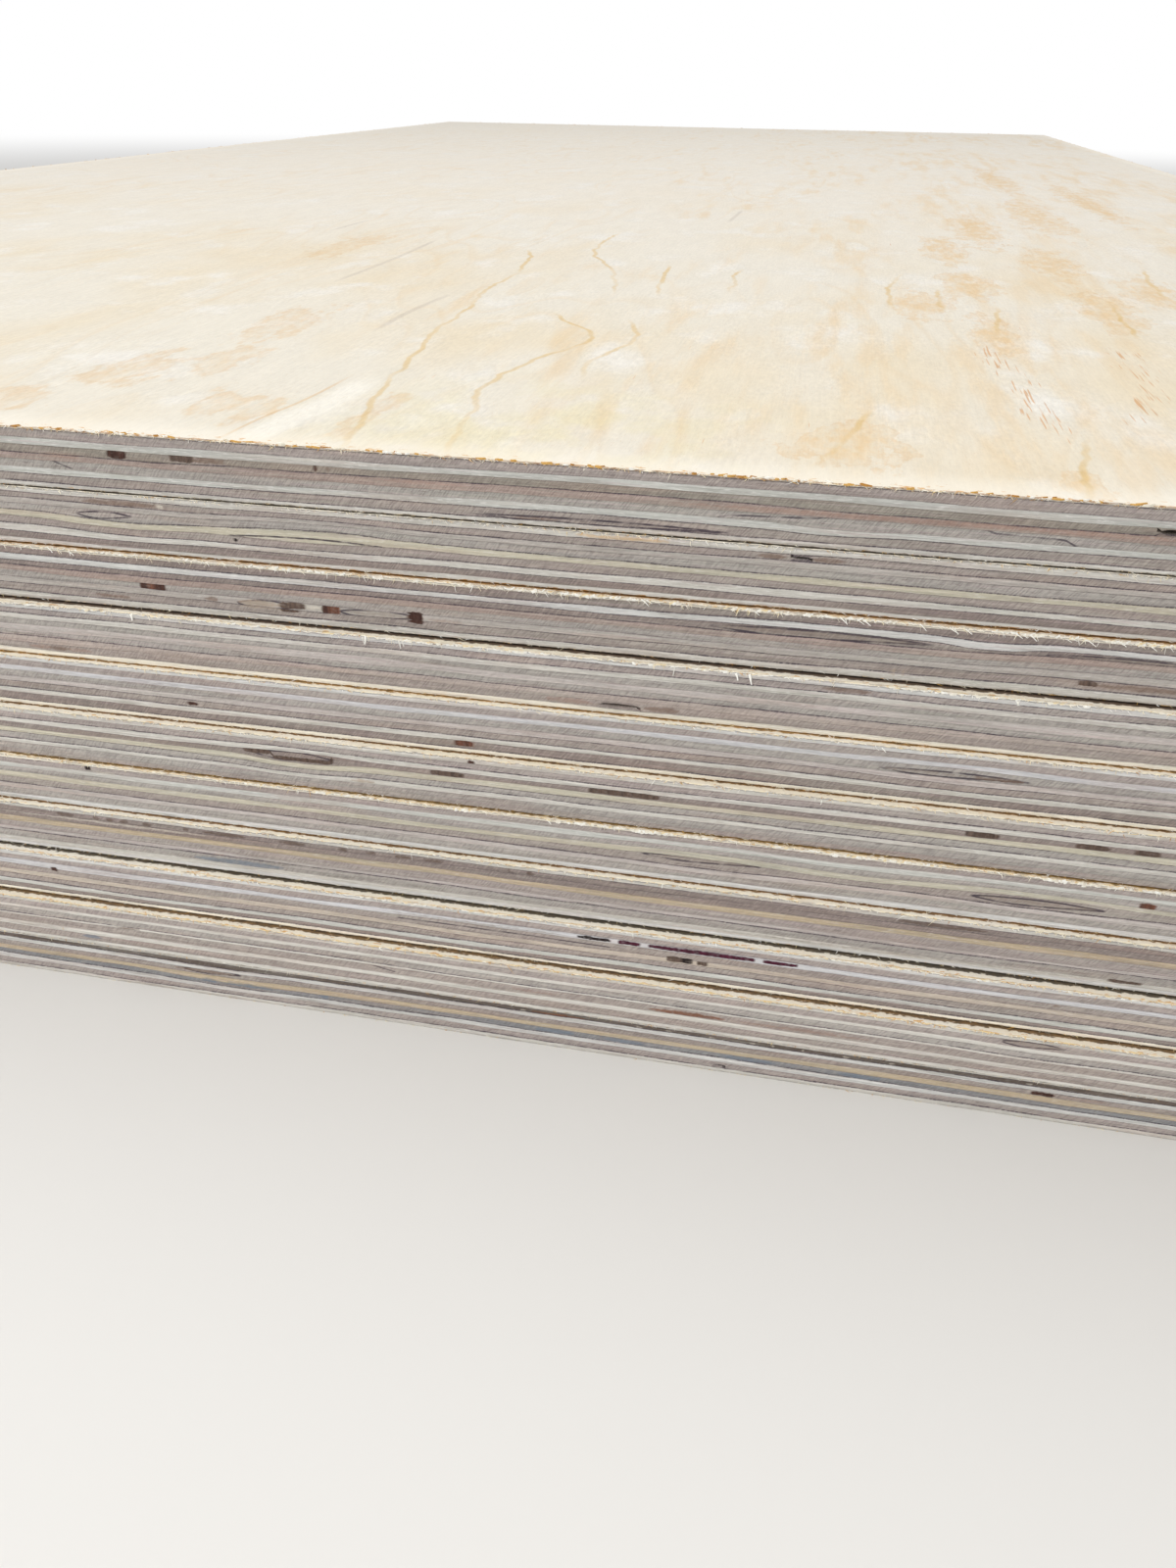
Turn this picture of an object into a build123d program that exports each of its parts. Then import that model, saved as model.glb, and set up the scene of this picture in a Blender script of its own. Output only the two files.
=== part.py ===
"""A stack of eleven hardwood plywood sheets, each 18 mm thick and four feet by eight.

X runs across the sheets, Y along them and Z up. The origin is under the middle of the stack, on the
floor. The near ends are those towards -Y.
"""
import os

from build123d import *

# One sheet, millimetres
sheet_width = 1219.2
sheet_length = 2438.4
end_thickness = 18.0
torn_ply_setback = 0.3
sanding_run = 150.0

# The stack, from the bottom sheet up: the open gap over each sheet at its short ends, how far each near
# end stands out past the top sheet's, and how far each sheet lies to the right of the top one
end_gaps = (0.8, 0.8, 0.7, 0.35, 0.35, 0.3, 0.3, 0.7, 0.4, 0.3)
near_end_reach = (15.2, 17.5, 14.6, 11.6, 9.5, 8.6, 6.0, 4.0, 1.4, 0.4, 0.0)
side_shift = (1.5, -2.0, 0.5, 2.5, -1.0, 1.0, -2.5, 1.5, 2.0, -0.5, 0.0)

# Each sheet's lay-up, from the bottom sheet up: the thickness of its nine plies from the top one down.
# The grain of the first, third and every other odd ply runs along the sheet, and the rest across it
lay_ups = (
    (1.8, 1.7, 1.9, 2.2, 2.0, 2.2, 1.9, 2.4, 1.9),
    (1.65, 2.35, 1.4, 2.6, 0.9, 2.9, 1.8, 2.7, 1.7),
    (1.9, 2.25, 1.95, 2.5, 2.0, 2.4, 1.85, 1.65, 1.5),
    (1.75, 1.95, 2.2, 2.1, 2.6, 1.4, 2.9, 1.6, 1.5),
    (1.3, 2.0, 1.75, 2.1, 1.85, 2.6, 1.9, 2.5, 2.0),
    (1.9, 2.1, 1.8, 1.9, 2.0, 2.3, 1.7, 2.3, 2.0),
    (1.65, 2.15, 1.7, 2.35, 1.85, 2.35, 1.75, 2.65, 1.55),
    (2.0, 2.0, 1.9, 1.9, 2.0, 2.0, 2.1, 2.4, 1.7),
    (1.2, 2.2, 1.9, 1.8, 2.0, 2.1, 2.0, 2.6, 2.2),
    (1.95, 2.0, 1.7, 2.25, 2.0, 2.4, 2.1, 2.2, 1.4),
    (0.55, 2.6, 1.95, 2.3, 2.2, 2.4, 1.9, 2.6, 1.5),
)

# Core gaps that open in the near ends, where two pieces of a core ply don't meet: sheet, distance to
# the right of its middle, ply from the top, length and height
core_gap_depth = 9.0
core_gaps = (
    (11, 327.0, 4, 7.0, 1.5),
    (10, 234.5, 2, 4.5, 0.8),
    (8, 183.5, 8, 12.0, 1.1),
    (1, 224.0, 8, 3.0, 0.6),
)

sheet_count = len(lay_ups)


def sanded_blank(thickness, gap_below, gap_above):
    """A sheet whose faces fall away towards its ends, by half of the gap that shows there.

    The belt sander thins the outer plies at the ends, so the sheets lie face to face along their
    middle and a dark line opens between them at the ends.
    """
    end = sheet_length / 2
    flat = end - sanding_run
    underside = [(-end, gap_below / 2), (-flat, 0), (flat, 0), (end, gap_below / 2)]
    upper_side = [(end, thickness - gap_above / 2), (flat, thickness)]
    upper_side += [(-flat, thickness), (-end, thickness - gap_above / 2)]
    side_view = Plane.YZ * make_face(Polyline(*underside, *upper_side, close=True))
    return extrude(side_view, sheet_width / 2, both=True).clean()


def ply_levels(lay_up, underside):
    """The heights of the ten glued or outer faces of a sheet's plies at its ends, from the top down."""
    scale = end_thickness / sum(lay_up)
    levels = [underside + end_thickness]
    for thickness in lay_up:
        levels.append(levels[-1] - thickness * scale)
    return levels


def torn_grooves(levels):
    """The shallow grooves where the saw ran with a ply's grain and tore it back behind its neighbours.

    At the short ends these are the plies whose grain runs across the sheet, and along the long sides
    the inner ones whose grain runs along it.
    """
    standing = (Align.CENTER, Align.CENTER, Align.MIN)
    grooves = []
    for ply in range(1, len(levels) - 2):
        low, height = levels[ply + 1], levels[ply] - levels[ply + 1]
        if ply % 2:
            cutter = Box(sheet_width, 2 * torn_ply_setback, height, align=standing)
            places = [Pos(0, side * sheet_length / 2, low) for side in (-1, 1)]
        else:
            cutter = Box(2 * torn_ply_setback, sheet_length, height, align=standing)
            places = [Pos(side * sheet_width / 2, 0, low) for side in (-1, 1)]
        grooves += [place * cutter for place in places]
    return grooves


def core_gap(x, middle, length, height):
    """A lens-shaped hole in the near end, in the middle of one ply."""
    mouth = Plane.XZ * Ellipse(length / 2, height / 2)
    return Pos(x, -sheet_length / 2, middle) * extrude(mouth, -core_gap_depth)


def sheet(number, lay_up, gap_below, gap_above):
    """One sheet on its own, centred on the Z axis with its underside at zero, and its thickness."""
    thickness = end_thickness + (gap_below + gap_above) / 2
    levels = ply_levels(lay_up, gap_below / 2)
    solid = sanded_blank(thickness, gap_below, gap_above) - torn_grooves(levels)
    for gap_sheet, x, ply, length, height in core_gaps:
        if gap_sheet == number:
            solid -= core_gap(x, (levels[ply - 1] + levels[ply]) / 2, length, height)
    return solid, thickness


os.makedirs("parts", exist_ok=True)

middle_y = (min(near_end_reach) + max(near_end_reach)) / 2
middle_x = (min(side_shift) + max(side_shift)) / 2
gaps_below = (0.0, *end_gaps)
gaps_above = (*end_gaps, 0.0)

height = 0.0
for index, lay_up in enumerate(lay_ups):
    solid, thickness = sheet(index + 1, lay_up, gaps_below[index], gaps_above[index])
    place = Pos(side_shift[index] - middle_x, middle_y - near_end_reach[index], height)
    export_step(place * solid, f"parts/sheet_{index + 1:02d}.step")
    height += thickness

print(f"stack height {height:.2f} mm, top sheet at X {-middle_x:.2f}, Y {middle_y:.2f}")
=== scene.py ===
"""A stack of eleven hardwood plywood sheets, each with its nine plies, laps, knots and torn arrises.

The CAD frame gives every sheet's place and size. A sheet is modelled as one skin: rings of points run
round its four sawn edges, three or four to a ply, and are moved to where each veneer really lies. Its
torn fibres are joined to it.
Lengths in this script are millimetres. Meshes, lamps and the camera are in metres.
"""

import math

import bmesh
import bpy
import numpy as np
from mathutils import Matrix, Vector


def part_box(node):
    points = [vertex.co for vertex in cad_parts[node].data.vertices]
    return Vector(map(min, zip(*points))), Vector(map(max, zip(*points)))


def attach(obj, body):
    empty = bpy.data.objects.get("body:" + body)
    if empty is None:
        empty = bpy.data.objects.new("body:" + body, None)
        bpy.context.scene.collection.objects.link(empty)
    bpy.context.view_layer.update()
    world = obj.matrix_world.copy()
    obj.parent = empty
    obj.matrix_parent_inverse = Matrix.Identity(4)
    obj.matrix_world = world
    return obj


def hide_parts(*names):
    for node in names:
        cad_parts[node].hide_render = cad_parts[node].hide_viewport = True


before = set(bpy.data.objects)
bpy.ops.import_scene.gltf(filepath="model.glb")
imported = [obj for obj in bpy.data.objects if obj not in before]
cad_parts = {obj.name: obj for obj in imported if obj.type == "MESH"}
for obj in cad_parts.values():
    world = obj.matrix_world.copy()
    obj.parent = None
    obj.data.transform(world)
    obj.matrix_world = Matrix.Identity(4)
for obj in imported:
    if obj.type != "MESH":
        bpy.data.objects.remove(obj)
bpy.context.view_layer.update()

MM = 0.001
SHEETS = range(1, 12)
PLIES = 9
END_THICKNESS = 18.0
# How far apart the glue keeps two plies
GLUE_LINE = 0.12
# How far back from the outline the saw leaves a ply that it cuts along the grain, the wood beside a
# glue line, an arris, and all of them at random and in waves: wavelength and height
TORN_PLY_SETBACK = 0.18
GLUE_SETBACK = 0.1
ARRIS = 0.25
SAW_ROUGHNESS = 0.045
SAW_WAVES = (60.0, 0.06)
# How the plies wander up and down: wavelength and height of the waves that all share, of each ply's own,
# as a share of its thickness, and of its ripples
SHARED_WAVES = (260.0, 0.22)
PLY_WAVES = (110.0, 0.1)
RIPPLES = (23.0, 0.03)
# The stretch at each end over which the belt sander thins the outer plies
SANDING_RUN = 150.0
CORE_GAP_DEPTH = 9.0
# How far fibres may stand out past the sawn edges
FIBRE_REACH = 1.2
# The stretch of the near ends that the photo shows, to the right of the top sheet's middle, and the
# part of it whose laps and knots were measured
WINDOW = (-135.0, 360.0)
MEASURED = (-40.0, 352.0)

# Veneer tones in daylight, from the smooth and pale ones to those that the saw left rough and grey
TONES = {
    "cream": "F2EAD8", "white": "D6D5D2", "pale": "D1CDC5", "celadon": "CACAC4", "sky": "CDCCCE",
    "straw": "CAC3AF", "tan": "C6B498", "sand": "C7BAAB", "blush": "C6BDB8", "dove": "BCB5AE",
    "rose": "BCAEA6", "clay": "AF9C93", "mauve": "B2A7A2", "grey": "B2ACA6", "slate": "8F9092",
    "brown": "ABA099", "olive": "9C9489", "dark": "978A84", "umber": "655A52",
}
# How strongly the knife marks of the lathe show in a rough veneer at the sheet's ends
ROUGH_TONES = {
    "rose": 0.8, "clay": 0.8, "mauve": 1.0, "grey": 1.0, "slate": 0.8, "olive": 0.9, "brown": 1.0,
    "dark": 1.0, "umber": 0.6, "tan": 0.4, "sand": 0.4, "blush": 0.4, "dove": 0.5, "straw": 0.3,
}
# How much paler or darker than the rest a sheet is all through: partly its own tone, partly painted light
# that makes the top sheets a little darker and the lower ones paler
SHEET_TONES_AND_PAINTED_LIGHT = {11: 0.95, 10: 0.98, 9: 0.95, 7: 1.02, 6: 1.05, 5: 1.05, 3: 1.12, 2: 1.17, 1: 1.05}
# What discolours a veneer in spots, and how fully it covers the wood
STAINS = {
    "knot": ("4A3028", 1.0), "bark": ("5E4C42", 0.9), "ember": ("6E4636", 0.95), "brown": ("7C6658", 0.65),
    "russet": ("A08071", 0.5), "shade": ("938579", 0.5), "filler": ("D8D0C2", 0.6), "blue": ("7A8490", 0.7),
    "wine": ("4A182C", 1.0), "tan": ("AE9C8A", 0.65), "smudge": ("66544A", 0.7), "rust": ("84563F", 0.8),
    "gold": ("D0AC7C", 0.6), "black": ("261C1B", 1.0),
}
# The stains with blunt ends and upright fibres. The others are drawn out to thin ends. Where less than
# this much of a spot's height lies in a ply, it leaves that ply clean
UPRIGHT_STAINS = ("knot", "bark", "ember", "wine", "black")
THINNEST_SPOT = 0.35

# Each sheet's lay-up from its top ply down, measured at the near end: thickness and tone of every ply
LAY_UPS = {
    11: ((0.55, "cream"), (2.6, "mauve"), (1.95, "celadon"), (2.3, "olive"), (2.2, "clay"),
         (2.4, "grey"), (1.9, "celadon"), (2.6, "brown"), (1.5, "pale")),
    10: ((1.95, "pale"), (2.0, "brown"), (1.7, "dove"), (2.25, "grey"), (2.0, "straw"),
         (2.4, "brown"), (2.1, "pale"), (2.2, "dark"), (1.4, "pale")),
    # Sheet 9's second ply has the dark tone partly as painted shade under its torn lip
    9: ((1.2, "cream"), (2.2, "dark"), (1.9, "white"), (1.8, "dark"), (2.0, "clay"),
        (2.1, "grey"), (2.0, "dove"), (2.6, "brown"), (2.2, "pale")),
    8: ((2.0, "white"), (2.0, "mauve"), (1.9, "pale"), (1.9, "grey"), (2.0, "blush"),
        (2.0, "grey"), (2.1, "rose"), (2.4, "brown"), (1.7, "cream")),
    7: ((1.65, "white"), (2.15, "mauve"), (1.7, "sky"), (2.35, "grey"), (1.85, "blush"),
        (2.35, "brown"), (1.75, "pale"), (2.65, "dark"), (1.55, "cream")),
    6: ((1.9, "pale"), (2.1, "mauve"), (1.8, "pale"), (1.9, "dark"), (2.0, "straw"),
        (2.3, "grey"), (1.7, "pale"), (2.3, "grey"), (2.0, "brown")),
    5: ((1.3, "cream"), (2.0, "mauve"), (1.75, "celadon"), (2.1, "grey"), (1.85, "straw"),
        (2.6, "brown"), (1.9, "blush"), (2.5, "grey"), (2.0, "white")),
    4: ((1.75, "pale"), (1.95, "dark"), (2.2, "dark"), (2.1, "tan"), (2.6, "mauve"),
        (1.4, "blush"), (2.9, "grey"), (1.6, "pale"), (1.5, "white")),
    3: ((1.9, "white"), (2.25, "mauve"), (1.95, "sky"), (2.5, "brown"), (2.0, "sand"),
        (2.4, "brown"), (1.85, "celadon"), (1.65, "dark"), (1.5, "cream")),
    2: ((1.65, "pale"), (2.35, "mauve"), (1.4, "pale"), (2.6, "grey"), (0.9, "pale"),
        (2.9, "brown"), (1.8, "pale"), (2.7, "brown"), (1.7, "pale")),
    1: ((1.8, "pale"), (1.7, "umber"), (1.9, "white"), (2.2, "brown"), (2.0, "tan"),
        (2.2, "slate"), (1.9, "white"), (2.4, "mauve"), (1.9, "pale")),
}

# Where two pieces of a core ply overlap, a thin dark line crosses the ply. Each lap is a run of points
# (to the right of the top sheet's middle, below this sheet's top)
LAPS = {
    11: (((8, 9), (15, 11.5)), ((210, 11.6), (213, 10.7), (236, 9.9), (241, 9.3)),
         ((280, 9.2), (283, 10.3), (301, 10.7), (304, 12.2))),
    10: (((64, 11.4), (70, 10.4), (90, 9.6), (112, 10.2)),),
    3: (((113, 7.2), (150, 7.3), (186, 7.7)),),
    2: (((103, 9), (111, 10.6)),),
}
# A short patch or a swelling in a ply has such a line above and below: left, right, top, bottom
LENSES = {
    11: ((141, 213, 15.1, 16.6),),
    10: ((14, 33, 5.9, 8.0), (66, 113, 9.0, 10.9)),
    9: ((210, 273, 5.2, 7.4), (303, 350, 5.2, 7.0), (64, 84, 11.3, 14.2), (97, 124, 11.3, 13.9)),
    7: ((263, 306, 6.4, 8.1),), 6: ((65, 93, 5.2, 8.3),),
    5: ((195, 232, 8.2, 9.9), (296, 335, 8.6, 10.9)), 2: ((313, 333, 1.8, 3.9),), 1: ((27, 50, 5.6, 7.5),),
}
# Knots and other coloured spots: left, right, top, bottom and what it is
SPOTS = {
    11: ((28, 34.5, 5.3, 7.3, "knot"), (48, 50, 5.4, 7.2, "bark"), (48.5, 56, 5.4, 7.1, "bark"),
         (53, 66, 5.4, 7.1, "brown"), (93, 94.5, 5.3, 6.9, "knot"), (96.5, 98.5, 5.5, 7.0, "brown"),
         (5, 20, 7.2, 8.6, "russet"), (110, 140, 7.6, 8.4, "russet"),
         (152, 166, 15.6, 16.4, "brown"), (196, 345, 7.5, 9.2, "russet"), (318, 336, 5.4, 7.2, "shade")),
    10: ((16, 42, 2.1, 3.7, "brown"), (41, 44, 2.2, 3.8, "filler"), (222, 230, 2.2, 3.8, "brown"),
         (236.5, 246, 2.2, 3.8, "brown"), (65, 66.4, 11.0, 11.7, "black"), (170, 198, 0.6, 1.8, "gold")),
    9: ((31, 33.5, 9.2, 11.3, "knot"), (33.5, 36.5, 9.2, 11.3, "ember"), (36.5, 40, 9.2, 11.3, "knot"),
        (53, 58, 11.8, 13.4, "brown"), (64, 78, 11.4, 14.2, "tan"), (78, 86, 11.3, 13.2, "bark"),
        (78, 84, 13.2, 14.4, "bark"), (86, 91, 11.6, 13.0, "filler"), (91, 94, 11.3, 13.7, "knot"),
        (94, 97.5, 11.3, 13.7, "ember"), (99, 119, 11.5, 13.8, "shade"), (119.5, 124.5, 10.9, 14.2, "knot"),
        (125, 137, 12.2, 13.6, "russet"), (15, 28, 14.0, 15.2, "brown"), (262, 264, 14.5, 16.5, "tan"),
        (265, 267, 14.5, 16.5, "tan"), (313, 318, 12.8, 14.2, "bark"), (316, 345, 13.0, 14.6, "brown"),
        (212, 271, 5.4, 7.0, "shade"), (305, 348, 5.4, 6.9, "shade")),
    8: ((-4, 3, 14.4, 16.0, "brown"), (-12, 12, 14.4, 16.0, "russet"), (162, 177, 14.2, 16.1, "russet"),
        (192, 204, 14.2, 16.1, "brown"), (244, 258, 2.0, 3.6, "brown")),
    7: ((43, 47, 10.6, 11.4, "knot"), (133, 139, 14.0, 15.6, "ember"), (118, 146, 14.0, 15.8, "shade"),
        (264, 289, 6.6, 8.0, "shade"), (289, 305, 6.6, 8.0, "brown")),
    6: ((-12, 60, 5.9, 7.5, "shade"), (62, 71, 5.6, 6.9, "bark"), (70, 92, 7.3, 8.4, "bark"),
        (66, 92, 5.4, 7.4, "shade"), (89, 93, 5.6, 7.9, "bark"), (125, 137, 6.0, 7.5, "bark"),
        (176, 199, 6.0, 7.5, "bark"),
        (290, 300, 6.0, 7.5, "bark"), (322, 331, 6.0, 7.5, "bark"), (338, 345, 6.0, 7.5, "bark"),
        (98, 107, 12.4, 13.8, "tan"), (138, 140, 0.8, 2.2, "knot")),
    5: ((2, 4.5, 1.4, 2.6, "black"), (5, 14, 2.7, 3.9, "filler"), (343, 348, 5.2, 6.9, "ember"),
        (197, 231, 8.3, 9.6, "shade"), (298, 333, 8.8, 10.6, "shade")),
    4: ((38, 72, 12.6, 14.8, "blue"), (-35, 45, 3.6, 4.5, "filler"), (296, 313, 14.9, 15.5, "smudge"),
        (340, 350, 14.7, 15.6, "bark"), (46, 50, 11.2, 12.8, "gold"), (69, 71, 11.2, 12.8, "gold"),
        (215, 345, 14.9, 16.2, "shade"))
       + tuple((left, right, 1.9, 3.6, "smudge") for left, right in (
           (-12, -5), (2, 5), (7, 10), (12, 16), (20, 24), (36, 38), (43, 59), (70, 81), (92, 96),
           (102, 106), (112, 118), (122, 129), (150, 152), (157, 160), (276, 303))),
    3: ((-18, -15, 5.8, 7.2, "knot"), (175, 186, 4.4, 5.3, "black"), (188, 196, 4.3, 5.5, "wine"),
        (198, 234, 4.3, 5.5, "wine"), (236, 247, 4.4, 5.4, "wine"), (108, 172, 4.6, 6.2, "shade"),
        (205, 209.5, 8.2, 9.9, "bark"), (210, 213.5, 8.2, 9.9, "black"), (214.5, 219, 8.2, 9.9, "bark"),
        (163, 166, 6.4, 7.6, "ember"), (326, 329, 6.4, 7.6, "brown")),
    2: ((5, 15, 7.5, 8.8, "brown"), (-10, -2, 13.8, 15.4, "blue"), (200, 226, 9.8, 11.6, "rust"),
        (227, 275, 9.9, 11.4, "russet"), (152, 169, 9.7, 11.0, "russet"), (-18, -16, 11.9, 13.0, "gold"),
        (314, 332, 2.0, 3.7, "shade")),
    1: ((158, 178, 2.3, 3.5, "rust"), (327, 335, 5.9, 7.1, "knot"), (335, 352, 5.9, 6.9, "russet"),
        (23, 48, 5.7, 7.4, "brown"))
       + tuple((left - 1, left + 1, 2.4, 3.4, "filler") for left in (
           156, 197, 207, 222, 236, 243, 253, 267, 282, 326))
       + tuple((left, right, 9.8, 11.6, "blue") for left, right in (
           (33, 40), (43, 62), (80, 84), (160, 175), (185, 200), (225, 245), (265, 280))),
}
# On the long edges the grain turns: the outer and every second ply is rough there, the others smooth
SIDE_TONES = ("grey", "pale", "brown", "celadon", "mauve", "white", "olive", "pale", "brown")
# Open core gaps, as in the CAD solids: middle, depth below the top, length, height
CORE_GAPS = {
    11: ((327.0, 6.4, 7.0, 1.5),), 10: ((234.0, 2.95, 4.5, 0.8),), 8: ((185.0, 15.3, 12.0, 1.1),),
    1: ((225.5, 14.5, 3.0, 0.6),),
}
# Where the plies bend round a patch or a thick stretch: middle, half length, depth, and how far the
# plies above that depth lie up and those below it down
BENDS = {
    11: ((175, 36, 14.5, 0.5, 0.2), (243, 15, 10.5, -0.1, 0.9), (302, 50, 5.0, -1.0, 0.5)),
    10: ((-12, 32, 8.5, 0.6, -0.5), (27, 18, 7.0, 0.2, 0.9), (88, 24, 9.8, 1.4, 0.7),
         (260, 90, 8.5, -0.4, 0.3)),
    9: ((240, 36, 6.3, 0.6, 0.3), (288, 11, 6.0, -1.2, 0.2), (325, 34, 12.5, 1.3, -0.9),
        (75, 22, 12.5, 0.4, 0.4)),
    8: ((184, 20, 14.6, 0.2, 0.1), (60, 60, 8.0, 0.3, -0.2)),
    7: ((285, 26, 7.3, 0.9, 0.6), (110, 50, 12.0, -0.3, 0.2)),
    6: ((80, 17, 7.0, 0.8, 1.6), (150, 26, 12.0, 0.3, -0.3)),
    5: ((213, 22, 9.2, 0.9, 0.6), (315, 24, 9.6, 1.0, 0.7), (262, 18, 9.5, -0.5, -0.2)),
    4: ((300, 60, 9.0, 0.3, 0.4), (40, 50, 13.0, 0.3, -0.2)),
    3: ((150, 45, 8.2, 0.3, 0.7), (280, 60, 6.0, -0.4, 0.2)),
    2: ((323, 16, 2.9, 0.3, 0.5), (60, 80, 9.0, 0.3, -0.3)),
    1: ((42, 26, 9.0, -1.0, 1.0), (300, 60, 9.0, 0.3, -0.2)),
}
# How high the torn face veneer hangs as a ragged lip over the upper arris
TORN_LIPS = {11: 0.4, 10: 0.2, 9: 0.85, 8: 0.7, 7: 0.3, 6: 0.35, 5: 0.6, 4: 0.4, 3: 0.6, 2: 0.5}
# What shows in the saw's torn arrises, the upper one and the lower one: tone and how fully it covers. The
# dark lower tones of sheets 9 and 4 are partly painted shade of the open joint under them
ARRIS_TONES = {
    11: (("A27A58", 0.75), ("5C4C34", 0.75)), 10: (("C8BC9C", 0.2), ("A9772F", 0.9)),
    9: (("D8B070", 0.5), ("563C28", 0.6)), 8: (("F0DDB4", 0.5), ("B98C44", 0.8)),
    7: (("EFE2BE", 0.5), ("94692F", 0.8)), 6: (("F0DFB4", 0.5), ("A07A34", 0.8)),
    5: (("E4C384", 0.6), ("94682C", 0.85)), 4: (("EEE0B8", 0.5), ("46361E", 0.65)),
    3: (("D8B068", 0.6), ("7A5828", 0.85)), 2: (("E4C27C", 0.7), ("4E3C2A", 0.8)),
    1: (("54463A", 0.5), ("3A322A", 0.4)),
}
# How thick gold specks lie on the face at the arris and how far in they reach
SPECKED_FACE = {11: (1.15, 12.0), 10: (0.85, 1.0), 8: (1.12, 5.0), 6: (1.1, 2.5), 3: (1.15, 3.0),
                2: (1.2, 4.0)}
# Where flakes of the torn face veneer hang over the upper arris: from, to, length and how far they lean
FLAKES = {9: ((-4, 60, 0.35, 0.5), (60, 352, 0.6, 0.5)), 8: ((-60, 352, 0.5, 0.2),),
          5: ((58, 72, 0.6, 0.3), (85, 110, 0.6, 0.3), (130, 352, 0.85, 0.4)), 3: ((-20, 352, 0.45, 0.2),)}
# Sheets whose upper arris is frayed into chips of face veneer that stand up along it
CHIPPED = (11,)
# Splinters that hang over the upper arris: how many to a millimetre and how long, then the places of
# the long ones
HANGING_SPLINTERS = {9: (0.5, 1.7), 5: (0.5, 1.2), 8: (0.15, 1.3), 3: (0.2, 1.1), 4: (0.12, 1.2),
                     11: (0.05, 0.8)}
LONG_SPLINTERS = {
    9: (-4, 2, 5, 9, 11.5, 163, 190, 191.5, 222, 240, 246, 251, 253, 258, 268, 276, 280, 288, 293, 294.5,
        297, 306, 307.5, 312, 320, 321.5, 328),
    8: (28, 105, 106, 116.5, 117.5, 201, 219, 223, 297, 298), 7: (261, 263), 5: (164,), 2: (106,),
}
# How far sideways the long ones lean and how wide they are
SPLINTER_LEANS = {9: 1.5, 8: 0.15}
SPLINTER_WIDTHS = {9: 0.65, 8: 1.15}

# Growth rings and streaks that show on the top face, as runs of points (to the right of the sheet's
# middle, from the near end)
RING_LINES = (
    ((103, 0), (95, 40), (88, 75), (84, 110), (78, 150), (74, 180), (73, 215), (70, 250), (66, 290),
     (67, 340)),
    ((133, 0), (128, 40), (122, 70), (122, 100), (127, 130), (138, 165), (137, 190), (125, 207), (114, 228)),
    ((150, 110), (148, 135), (155, 160), (157, 185), (150, 218)),
    ((128, 300), (122, 335), (114, 370), (103, 400), (93, 430), (88, 470), (88, 540)),
    ((66, 350), (62, 385), (52, 435)),
    ((151, 295), (146, 340), (143, 395)), ((183, 318), (183, 350), (182, 388)),
    ((262, 290), (262, 340), (269, 392)), ((285, 285), (286, 345)),
    ((304, 0), (308, 30), (313, 62)), ((304, 232), (308, 262), (311, 296)),
    ((362, 240), (364, 280), (366, 322)), ((398, 355), (400, 400), (406, 452)),
    ((236, 20), (244, 50), (250, 78)),
)
# The veneer is folded along a thin line here, and its far side is sanded paler
FOLD = ((64, 0), (66, 29), (69, 48), (71, 82))
DARK_STREAKS = (
    ((-14, 296), (-14, 380), (-17, 462)), ((50, 176), (50, 220), (53, 264)), ((-99, 500), (-98, 560)),
    ((154, 640), (156, 720)),
)
# Tan patches of figure: to the right, from the near end, half as wide and half as long
FIGURE_PATCHES = (
    (9, 176, 14, 40), (18, 102, 11, 28), (-7, 82, 15, 28), (-21, 33, 11, 15), (46, 42, 10, 18),
    (61, 34, 6, 16),
    (276, 300, 13, 32), (303, 225, 8, 42), (304, 371, 12, 46), (361, 302, 12, 46), (394, 371, 12, 46),
    (360, 465, 13, 60), (243, 40, 14, 22), (306, 14, 6, 11), (96, 42, 5, 30), (330, 640, 14, 90),
    (385, 760, 16, 120), (445, 900, 12, 160), (300, 520, 12, 60), (392, 1150, 14, 150), (-60, 420, 14, 60),
)
# The size of all these patterns through the veneer
THROUGH_VENEER = 40.0
# The middles of the bands where orange mineral dashes lie
DASH_BANDS = (
    ((307, 62), (303, 120), (296, 210)), ((334, 90), (348, 150), (347, 215)),
)

# Each sheet's looks can be baked into a square picture, whose pixels go mostly to what shows: how many
# rows a side of the sheet is folded into there, and how many pixels high each row or face is
PICTURE = 1024
PICTURE_MARGIN = 8
PICTURE_ROWS = {"near": (4, 84), "right": (2, 40), "far": (2, 40), "left": (2, 40),
                "top": 200, "bottom": 120}
TOP_SHEET_ROWS = {"near": (3, 64), "right": (1, 36), "far": (1, 36), "left": (1, 36),
                  "top": 600, "bottom": 24}
# How far the rows of the sides reach past the sides' ends, and the cells that the fibres' tones fill
PICTURE_OVERHANG = 10.0
FIBRE_CELL = 14
FIBRE_CELL_GAP = 4
FIBRE_LEVEL = 1002

# Tones of torn fibres, how common each is in the fuzz, and how much of a sheet's fuzz is gold
FIBRE_TONES = {"cream": "F6EFDD", "straw": "F3E6C6", "honey": "EFD8A4", "gold": "DDAE62", "amber": "C08A42",
               "white": "FCFAF2", "bone": "E6DCCB"}
FUZZ_SHARES = (0.35, 0.4, 0.4, 0.4, 0.2, 0.25, 0.0)
GOLD_TONES = ("honey", "gold", "amber")
GOLD_SHARES = {11: 0.5, 10: 0.1, 9: 0.35, 8: 0.3, 7: 0.25, 5: 0.35, 3: 0.5, 2: 0.6, 1: 0.2}


def linear(hex_colour):
    """An sRGB hex colour as linear red, green, blue and alpha."""
    channels = [int(hex_colour[i:i + 2], 16) / 255 for i in (0, 2, 4)]
    return [c / 12.92 if c <= 0.04045 else ((c + 0.055) / 1.055) ** 2.4 for c in channels] + [1.0]


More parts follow.
